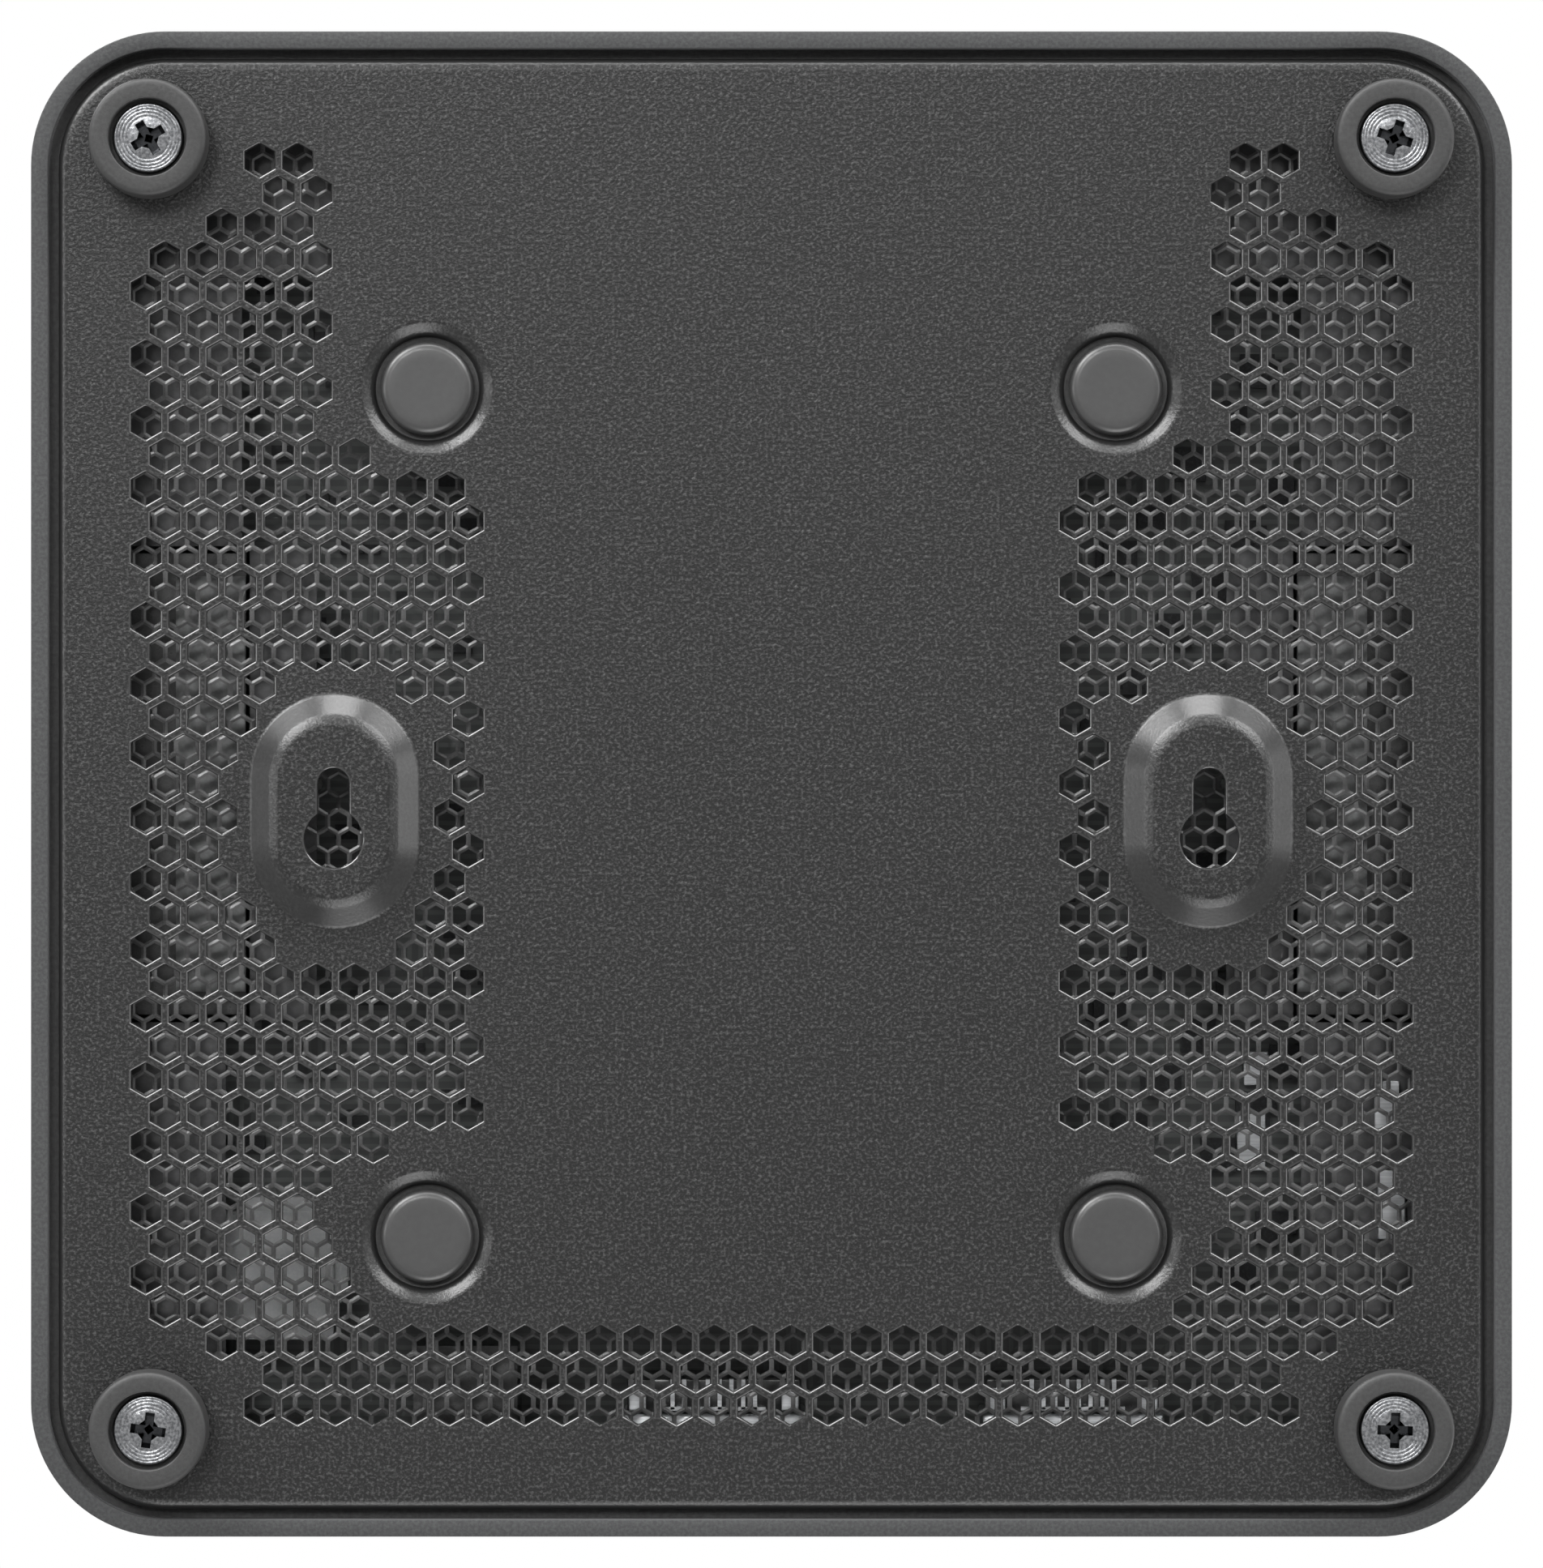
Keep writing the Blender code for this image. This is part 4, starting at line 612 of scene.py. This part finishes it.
def vent_screen():
    """A sheet of fine cells, open behind the vents and plain elsewhere, with a lip down to the plate."""
    low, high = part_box("vent_screen")
    bm = bmesh.new()
    tiled(bm, SCREEN_PITCH, high.z, 7)
    unused = []
    for face in bm.faces:
        x, y = face.calc_center_median().xy
        past_edge = abs(x) > high.x + SCREEN_PITCH or abs(y) > high.y + SCREEN_PITCH
        by_post = abs(x) > POST_GAP.x and abs(y) > POST_GAP.y
        if past_edge or by_post or near_dimple(x, y, PLUG_GAP):
            unused.append(face)
    bmesh.ops.delete(bm, geom=unused, context="FACES")
    bmesh.ops.remove_doubles(bm, verts=bm.verts, dist=SCREEN_PITCH / 20)
    for way in ((1, 0, 0), (-1, 0, 0), (0, 1, 0), (0, -1, 0)):
        edge = Vector((high.x * way[0], high.y * way[1], high.z))
        bmesh.ops.bisect_plane(
            bm, geom=[*bm.verts, *bm.edges, *bm.faces], plane_co=edge, plane_no=way, clear_outer=True)
    behind = [face for face in bm.faces if is_open(*face.calc_center_median().xy)]
    bmesh.ops.inset_individual(bm, faces=behind, thickness=SCREEN_BAR / 2, use_even_offset=True)
    # The punch rolls each bar's sides over, away from the plate
    rolled = list({vert for face in behind for vert in face.verts})
    bmesh.ops.translate(bm, vec=(0, 0, SCREEN_ROLL), verts=rolled)
    bmesh.ops.delete(bm, geom=behind, context="FACES_ONLY")
    rim = [edge for edge in bm.edges if edge.is_boundary and (
        all(abs(abs(v.co.x) - high.x) < 1e-6 for v in edge.verts)
        or all(abs(abs(v.co.y) - high.y) < 1e-6 for v in edge.verts))]
    lip = bmesh.ops.extrude_edge_only(bm, edges=rim)
    bmesh.ops.translate(bm, vec=(0, 0, low.z - high.z), verts=fresh(lip, VERT))
    point_sheet(bm, 1)
    made = piece("inner_screen", bm, "screen_steel", ["vent_screen"])
    sheet = made.modifiers.new("Sheet", "SOLIDIFY")
    sheet.thickness, sheet.offset = SCREEN_THICK, -1


# Feet, screws and plugs

def feet():
    """Ring feet: a rounded tread, a bore that shows the screw's head, and a pocket that the head seats in."""
    profile = quarter((FOOT_RADIUS - FOOT_ROUND, FOOT_ROUND), FOOT_ROUND, -90)
    profile += [(FOOT_RADIUS, FOOT_HEIGHT), (SCREW_HOLE, FOOT_HEIGHT), (SCREW_HOLE, POCKET_HIGH)]
    profile += [(POCKET_RADIUS, POCKET_HIGH), (POCKET_RADIUS, POCKET_LOW), (FOOT_BORE, POCKET_LOW)]
    profile += quarter((FOOT_BORE + BORE_ROUND, BORE_ROUND), BORE_ROUND, 180)
    for corner, (i, j) in CORNERS.items():
        bm = bmesh.new()
        turned(bm, profile, 64, closed=True)
        bmesh.ops.translate(bm, vec=(i * FOOT_AT.x, j * FOOT_AT.y, 0), verts=bm.verts)
        piece(f"ring_foot_{corner}", bm, "foot_rubber", [f"foot_{corner}"], smooth=40)


def cross_cutter(tip_z, mouth_z):
    """A tapered cross for a screw's recess, its mouth at the lower height."""
    bm = bmesh.new()
    middle_z, depth = (tip_z + mouth_z) / 2, tip_z - mouth_z
    square = 0.6 * RECESS_REACH
    # Two arms that keep their ends steep, and a square between them that runs down to a point
    arms = ((RECESS_REACH, RECESS_ARM, 0, 0.75), (RECESS_ARM, RECESS_REACH, 0, 0.75))
    for x, y, turn, taper in (*arms, (square, square, 45, 0.02)):
        made = bmesh.ops.create_cube(bm, size=1.0)["verts"]
        bmesh.ops.scale(bm, vec=(2 * x, 2 * y, depth), verts=made)
        bmesh.ops.translate(bm, vec=(0, 0, middle_z), verts=made)
        bmesh.ops.rotate(bm, cent=(0, 0, 0), matrix=Matrix.Rotation(math.radians(turn), 3, "Z"), verts=made)
        tip = [vert for vert in made if vert.co.z > middle_z]
        bmesh.ops.scale(bm, vec=(taper, taper, 1), verts=tip)
        if turn:
            bmesh.ops.translate(bm, vec=(0, 0, 0.5 * depth), verts=tip)
    return bm


def screws():
    """Pan head screws with turning marks and a cross recess, each turned to a stop of its own."""
    for corner, (i, j) in CORNERS.items():
        low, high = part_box(f"base_screw_{corner}")
        head, tip = low.z, high.z
        profile = [(0.0, head)]
        for mark in TURNED_MARKS:
            profile += [(mark, head), (mark + 0.08 * MM, head + 0.03 * MM), (mark + 0.16 * MM, head)]
        profile += quarter((HEAD_RADIUS - HEAD_ROUND, head + HEAD_ROUND), HEAD_ROUND, -90)
        profile += [(HEAD_RADIUS, HEAD_SEAT), (SHANK_RADIUS, HEAD_SEAT), (SHANK_RADIUS, tip - SHANK_TAPER)]
        profile += [(SHANK_RADIUS - SHANK_TAPER, tip), (0.0, tip)]
        bm = bmesh.new()
        turned(bm, profile, 48)
        made = piece(f"pan_screw_{corner}", bm, "screw_steel", [f"base_screw_{corner}"], smooth=35)
        cut(made, cross_cutter(head + RECESS_DEPTH, head - 0.1 * MM))
        # The recess faces take the darker steel: painted shade in the recess.
        made.data.materials.append(recess_painted_shade)
        for side in made.data.polygons:
            x, y, z = side.center
            if math.hypot(x, y) < RECESS_REACH + 0.15 * MM and head + 0.02 * MM < z < HEAD_SEAT:
                side.material_index = 1
        turn = Matrix.Rotation(math.radians(SCREW_TURNS[corner]), 4, "Z")
        made.data.transform(at(i * FOOT_AT.x, j * FOOT_AT.y) @ turn)


def plugs():
    """Blanking plugs: a smooth head with a rolled edge, a stem through the sheet and a barb behind it."""
    seat = PLATE_Z + DIMPLE_DEPTH - 0.3 * MM
    for corner, (x, y) in zip(CORNERS, DIMPLES):
        low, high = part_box(f"blanking_plug_{corner}")
        face, top = low.z, high.z
        barb = top - BARB_LENGTH
        # A faint groove round the head breaks its flat
        profile = [(0.0, face), (2.6 * MM, face + 0.01 * MM)]
        profile += quarter((PLUG_RADIUS - PLUG_ROUND, face + PLUG_ROUND), PLUG_ROUND, -90)
        profile += [(PLUG_RADIUS, seat), (STEM_RADIUS, seat), (STEM_RADIUS, barb), (BARB_RADIUS, barb)]
        profile += [(STEM_RADIUS, top), (0.0, top)]
        bm = bmesh.new()
        turned(bm, profile, 64)
        bmesh.ops.translate(bm, vec=(x, y, 0), verts=bm.verts)
        piece(f"plug_{corner}", bm, "plug_rubber", [f"blanking_plug_{corner}"], smooth=35)


# Case

def case():
    """The outer shell with a rounded roof and a fine lip: textured outside, polished inside and painted
    lighter there as fill light.
    """
    bm = bmesh.new()
    floor = rounded_face(bm, CASE_SIZE, CASE_CORNER, 0, 0, PLATE_Z, 24)
    roof = raised(bm, [floor], CASE_HIGH.z - PLATE_Z)[0]
    bmesh.ops.bevel(
        bm, geom=list(roof.edges), offset=ROOF_ROUND, segments=10, profile=0.5, affect="EDGES", material=-1)
    floor = min(bm.faces, key=lambda f: f.calc_center_median().z)
    bmesh.ops.inset_region(bm, faces=[floor], thickness=CASE_WALL, use_even_offset=True)
    raised(bm, [floor], CEILING_Z - PLATE_Z)
    bmesh.ops.delete(bm, geom=[floor] if floor.is_valid else [], context="FACES_ONLY")
    lip = [edge for edge in bm.edges if all(abs(v.co.z - PLATE_Z) < 1e-6 for v in edge.verts)]
    lip = [edge for edge in lip if edge.calc_face_angle(0) > 0.5]
    bmesh.ops.bevel(bm, geom=lip, offset=LIP_ROUND, segments=3, profile=0.5, affect="EDGES", material=-1)
    bmesh.ops.recalc_face_normals(bm, faces=bm.faces)
    shell = piece("shell", bm, "case_plastic", ["case"])
    cut(shell, port_cutters())
    smoothed(shell, 30)
    # Faces inside the shell take the lighter plastic: painted fill light.
    shell.data.materials.append(case_inside_painted_light)
    for side in shell.data.polygons:
        x, y, z = side.center
        past_x, past_y = abs(x) - CASE_HIGH.x + CASE_CORNER, abs(y) - CASE_HIGH.y + CASE_CORNER
        depth = CASE_CORNER - math.hypot(max(past_x, 0), max(past_y, 0))
        if depth > 1 * MM and PLATE_Z + 0.3 * MM < z < CASE_HIGH.z - 1 * MM:
            side.material_index = 1


def port_cutters():
    """Openings in the back for the ports, buttons and warm air, and in the front for the light."""
    bm = bmesh.new()
    for side in SIDES:
        low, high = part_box(f"network_jack_{side}")
        middle = (low + high) / 2
        box(bm, (16.4 * MM, CUT_DEPTH, 12.1 * MM), (middle.x, CUT_Y, middle.z))
    # Power inlet, sync button and reset pin hole, as x, z and radius in mm
    for x, z, radius in ((-26.5, 14.7, 3.8), (-43.0, 17.2, 3.3), (10.55, 17.2, 0.9)):
        spot = at(x * MM, CUT_Y, z * MM) @ Matrix.Rotation(math.pi / 2, 4, "X")
        bmesh.ops.create_cone(
            bm, cap_ends=True, segments=48, radius1=radius * MM, radius2=radius * MM, depth=CUT_DEPTH,
            matrix=spot)
    for i in range(13):
        box(bm, (2.2 * MM, CUT_DEPTH, 8 * MM), ((i - 6) * 6 * MM, CUT_Y, 32.4 * MM), 0.6 * MM)
    box(bm, (8.6 * MM, CUT_DEPTH, 2.6 * MM), (0, -CUT_Y, 23.0 * MM))
    return bm


def groove_shade_sheet():
    """A sheet of dark foam inside the case that closes the groove round the plate: painted shade in the
    groove.
    """
    size = (CASE_SIZE.x - 2 * CASE_WALL, CASE_SIZE.y - 2 * CASE_WALL)
    bm = bmesh.new()
    face = rounded_face(bm, size, CASE_CORNER - CASE_WALL, 0, 0, 5.6 * MM, 24)
    bmesh.ops.inset_region(bm, faces=[face], thickness=0.74 * MM, use_boundary=True, use_even_offset=True)
    bmesh.ops.delete(bm, geom=[face], context="FACES_ONLY")
    raised(bm, list(bm.faces), 1.4 * MM)
    bmesh.ops.recalc_face_normals(bm, faces=bm.faces)
    piece("groove_shade_sheet", bm, "case_plastic", material=shade_foam, smooth=30)


def posts():
    """Screw posts under the ceiling, with their bores: long ones for the plate, short ones for the board."""
    bm = bmesh.new()
    # Each as x and y, then its radius, bore, foot and the bore's end in mm
    rows = [(i * FOOT_AT.x, j * FOOT_AT.y, 3.5, 1.8, 5.0, 13.9) for i, j in CORNERS.values()]
    rows += [(x, y, 3.0, 1.6, 22.4, 28.5) for x, y in DIMPLES]
    for x, y, outer, bore, foot, end in rows:
        post = bmesh.new()
        profile = [(0.0, end), (bore, end), (bore, foot), (outer, foot), (outer, 40.5), (0.0, 40.5)]
        turned(post, [(radius * MM, z * MM) for radius, z in profile], 40)
        bmesh.ops.translate(post, vec=(x, y, 0), verts=post.verts)
        carried = mesh_of("post", post)
        bm.from_mesh(carried)
        bpy.data.meshes.remove(carried)
    piece("screw_posts", bm, "case_plastic", smooth=35)


def fill_light_ribs():
    """Pale ribs of the case's inside plastic beside the board, between the antennas, close behind the vents:
    painted fill light in the dark cells.
    """
    bm = bmesh.new()
    # Each as its size along x and y and its middle, in mm; at the rear left it is narrower, to pass the choke
    ribs = [(99.0, 11.0, 0.0, -57.5), (124.0, 8.0, 0.0, -48.0)]
    ribs += [(14.6, 31.0, -54.7, 36.2), (16.0, 31.0, 54.0, 36.2)]
    for i in SIDES.values():
        ribs += [(16.0, 23.3, i * 54.0, -32.3)]
        ribs += [(5.8, 19.0, i * 42.4, 11.0), (5.8, 19.0, i * 42.4, -11.0)]
    for length, width, x, y in ribs:
        box(bm, (length * MM, width * MM, 0.8 * MM), (x * MM, y * MM, 11.6 * MM))
    piece("fill_light_ribs", bm, "case_plastic", material=case_inside_painted_light)


# Ports and what shows of the board

def jack_shell(side, x, z, low, high):
    """A socket's folded metal shell, open at the back."""
    bm = bmesh.new()
    size = (high.x - low.x, SHELL_DEPTH, high.z - low.z)
    box(bm, size, (x, high.y - SHELL_DEPTH / 2, z), 0.3 * MM, 3)
    shell = piece(f"jack_shell_{side}", bm, "tin_plate", [f"network_jack_{side}"], smooth=35)
    hollow = bmesh.new()
    box(hollow, (14.2 * MM, 18.4 * MM, 9.9 * MM), (x, high.y, z))
    cut(shell, hollow)


def jack_insert(side, x, z, rear):
    """The insert in the shell, hollow for a plug and its latch, and the eight sprung contacts in it."""
    bm = bmesh.new()
    box(bm, (14.1 * MM, 9.1 * MM, 9.8 * MM), (x, rear - 4.6 * MM, z), 0.2 * MM)
    insert = piece(f"jack_insert_{side}", bm, "black_plastic", smooth=35)
    for width, height, rise in ((11.9, 7.6, 0.3), (6.2, 1.4, -3.9)):
        hollow = bmesh.new()
        box(hollow, (width * MM, 17.0 * MM, height * MM), (x, rear, z + rise * MM))
        cut(insert, hollow)
    bm = bmesh.new()
    slope = Matrix.Rotation(math.radians(-22), 3, "X")
    for i in range(CONTACTS):
        spot = (x + (i - 3.5) * CONTACT_PITCH, rear - 5.4 * MM, z + 2.6 * MM)
        verts = bmesh.ops.create_cube(bm, size=1.0)["verts"]
        bmesh.ops.scale(bm, vec=(0.35 * MM, 6.0 * MM, 0.3 * MM), verts=verts)
        bmesh.ops.rotate(bm, cent=(0, 0, 0), matrix=slope, verts=verts)
        bmesh.ops.translate(bm, vec=spot, verts=verts)
    piece(f"jack_contacts_{side}", bm, "tin_plate", material=contact_gold)


def jack_tails(side, x, front):
    """The block at the socket's front, the contacts' tails, their bar and the shell's two ears."""
    bm = bmesh.new()
    box(bm, (15.0 * MM, 2.9 * MM, 10.2 * MM), (x, front + 1.7 * MM, 15.0 * MM), 0.2 * MM)
    piece(f"jack_block_{side}", bm, "black_plastic", smooth=35)
    bm = bmesh.new()
    for i in range(CONTACTS):
        spot = (x + (i - 3.5) * CONTACT_PITCH, front + 1.5 * MM, TAIL_Z)
        box(bm, (0.36 * MM, 2.6 * MM, 0.8 * MM), spot)
    box(bm, (9.0 * MM, 0.30 * MM, 0.8 * MM), (x, front + 2.75 * MM, TAIL_Z))
    for i in SIDES.values():
        box(bm, (1.5 * MM, 2.0 * MM, 0.9 * MM), (x + i * 6.6 * MM, front + 1.9 * MM, TAIL_Z), 0.1 * MM)
    piece(f"jack_tails_{side}", bm, "tin_plate")


def network_jacks():
    """Two shielded sockets."""
    for side in SIDES:
        low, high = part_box(f"network_jack_{side}")
        x, z = (low.x + high.x) / 2, (low.z + high.z) / 2
        jack_shell(side, x, z, low, high)
        jack_insert(side, x, z, high.y)
        jack_tails(side, x, low.y)


def board_chips():
    """Small chips under the board, spread evenly over its sides, clear of its screws and the choke."""
    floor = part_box("main_board")[0].z
    sizes = ((1.6, 0.8, 0.6), (0.8, 1.6, 0.6), (2.0, 1.3, 0.9), (3.0, 3.0, 0.9))
    bm = bmesh.new()
    for i in range(150):
        # Multiples of these two shares of one fill a field evenly
        across, along = i * 0.7549 % 1, i * 0.5698 % 1
        x = (24 + 22 * across) * (1 if i % 2 else -1) * MM
        y = (-44 + 90 * along) * MM
        by_choke = x < -35 * MM and y > 34 * MM
        if near_dimple(x, y, 5 * MM) or abs(y) < 2 * MM or by_choke:
            continue
        size = sizes[i % len(sizes)]
        box(bm, [length * MM for length in size], (x, y, floor - size[2] / 2 * MM))
    piece("board_chips", bm, "chip_epoxy")


def spring_tabs():
    """Spring tabs at the right, on the board and the rib, that show as bright ends behind the vents."""
    bm = bmesh.new()
    on_board = ((42.6, 25.0, 19.9, 2.2, 3.0), (42.2, 31.5, 19.9, 2.6, 5.0))
    on_rib = ((53.4, 28.0, 10.8, 2.2, 4.5), (53.8, 36.5, 10.8, 2.4, 6.0))
    for x, y, z, length, width in on_board + on_rib:
        box(bm, (length * MM, width * MM, 0.7 * MM), (x * MM, y * MM, z * MM), 0.1 * MM)
    piece("spring_tabs", bm, "tin_plate")


def choke_sheet():
    """A pale insulating sheet glued under the choke, a little wider than it."""
    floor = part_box("power_choke")[0].z
    bm = bmesh.new()
    box(bm, (11.4 * MM, 11.2 * MM, 0.4 * MM), (-43.9 * MM, 42.9 * MM, floor - 0.25 * MM), 0.05 * MM)
    piece("choke_sheet", bm, "black_plastic", material=ferrite)


def finish_cad_nodes():
    """Gives each node that stays its material, by the record's slot that its own material is named for."""
    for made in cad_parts.values():
        for place in made.material_slots:
            kind = place.material.name.split(".")[0] if place.material else "black_plastic"
            place.material = SLOTS[kind]


# Stage: floor, light and camera

def studio_floor():
    """A pale floor that shows from above only, so that light and the camera below pass through it."""
    bm = bmesh.new()
    bmesh.ops.create_grid(bm, x_segments=1, y_segments=1, size=0.9)
    floor = added("floor", mesh_of("floor", bm))
    material, tree, place = blank("studio_floor_pale")
    camera_ray = node(tree, "LightPath").outputs["Is Camera Ray"]
    back = node(tree, "NewGeometry").outputs["Backfacing"]
    front = node(tree, "Math", {0: 1.0, 1: back}, operation="SUBTRACT")
    shown = node(tree, "Math", {0: front, 1: camera_ray}, operation="MULTIPLY")
    # A mottle about a third of a metre across, hardly seen
    mottle = node(tree, "TexNoise", {"Vector": place, "Scale": 3.0, "Detail": 1.0})
    colour = node(tree, "ValToRGB", {"Fac": mottle}, ((0.0, "#f1f1f0"), (1.0, "#f6f6f5")))
    pale = node(tree, "BsdfDiffuse", {"Color": colour})
    clear = node(tree, "BsdfTransparent")
    mixed = node(tree, "MixShader", {0: shown, 1: clear, 2: pale})
    node(tree, "OutputMaterial", {"Surface": mixed})
    floor.data.materials.append(material)


def studio_world():
    """White for the camera and in reflections, and a soft fill for the rest."""
    world = bpy.data.worlds.new("studio")
    bpy.context.scene.world = world
    world.use_nodes = True
    tree = world.node_tree
    tree.nodes.clear()
    path = node(tree, "LightPath").outputs
    seen = path["Is Camera Ray"]
    for kind in ("Is Glossy Ray", "Is Transmission Ray"):
        seen = node(tree, "Math", {0: seen, 1: path[kind]}, operation="MAXIMUM")
    soft = node(tree, "Background", {"Color": linear("#ffffff"), "Strength": 0.18})
    white = node(tree, "Background", {"Color": linear("#ffffff"), "Strength": 1.0})
    mixed = node(tree, "MixShader", {0: seen, 1: soft, 2: white})
    node(tree, "OutputWorld", {"Surface": mixed})


def studio_lamps():
    """For the underside, upright soft boxes round the front and sides, small ones further below, whose light
    reaches the inner screen, and a broad one behind. Two above are for the other views."""
    lamps = {
        "left_below": ((-0.95, -1.13, -0.54), (0.90, 0.60), 36.0),
        "right_below": ((0.95, -1.13, -0.54), (0.90, 0.60), 24.0),
        "middle_below": ((0.0, -1.50, -0.21), (0.80, 0.40), 16.0),
        "left_side": ((-1.48, -0.10, -0.54), (0.30, 0.60), 3.5),
        "right_side": ((1.50, -0.20, -0.27), (0.80, 0.50), 4.5),
        "spark_below": ((-0.36, -0.62, -1.24), (0.36, 0.36), 9.0),
        "spark_right": ((0.36, -0.62, -1.24), (0.36, 0.36), 2.5),
        "rear_below": ((0.20, 1.40, -0.70), (1.00, 1.00), 17.0),
        "key_above": ((-0.55, -0.60, 0.80), (0.60, 0.60), 14.0),
        "fill_above": ((0.70, 0.30, 0.70), (0.80, 0.80), 7.0),
    }
    aim = Vector((0, 0, 0.02))
    for name, (spot, size, power) in lamps.items():
        lamp = bpy.data.lights.new(name, "AREA")
        lamp.shape, lamp.size, lamp.size_y, lamp.energy = "RECTANGLE", *size, power
        made = added(name, lamp)
        made.location = spot
        made.rotation_mode = "QUATERNION"
        made.rotation_quaternion = (aim - Vector(spot)).to_track_quat("-Z", "Y")


def photo_camera():
    """The photograph's view: straight up at the underside, with the front at the top."""
    distance, frame_height = 0.65, 134.66 * MM
    lens = bpy.data.cameras.new("photo_camera")
    lens.sensor_width = 36.0
    lens.lens = lens.sensor_width * distance / frame_height
    lens.clip_start, lens.clip_end = 0.01, 20.0
    camera = added("photo_camera", lens)
    camera.location = (0.0, 0.0, PLATE_Z - distance)
    camera.rotation_euler = (math.pi, 0.0, 0.0)
    bpy.context.scene.camera = camera
    bpy.context.scene.view_settings.view_transform = "Standard"


finish_cad_nodes()
base_plate()
vent_screen()
feet()
screws()
plugs()
case()
groove_shade_sheet()
posts()
fill_light_ribs()
network_jacks()
board_chips()
spring_tabs()
choke_sheet()
studio_floor()
studio_world()
studio_lamps()
photo_camera()
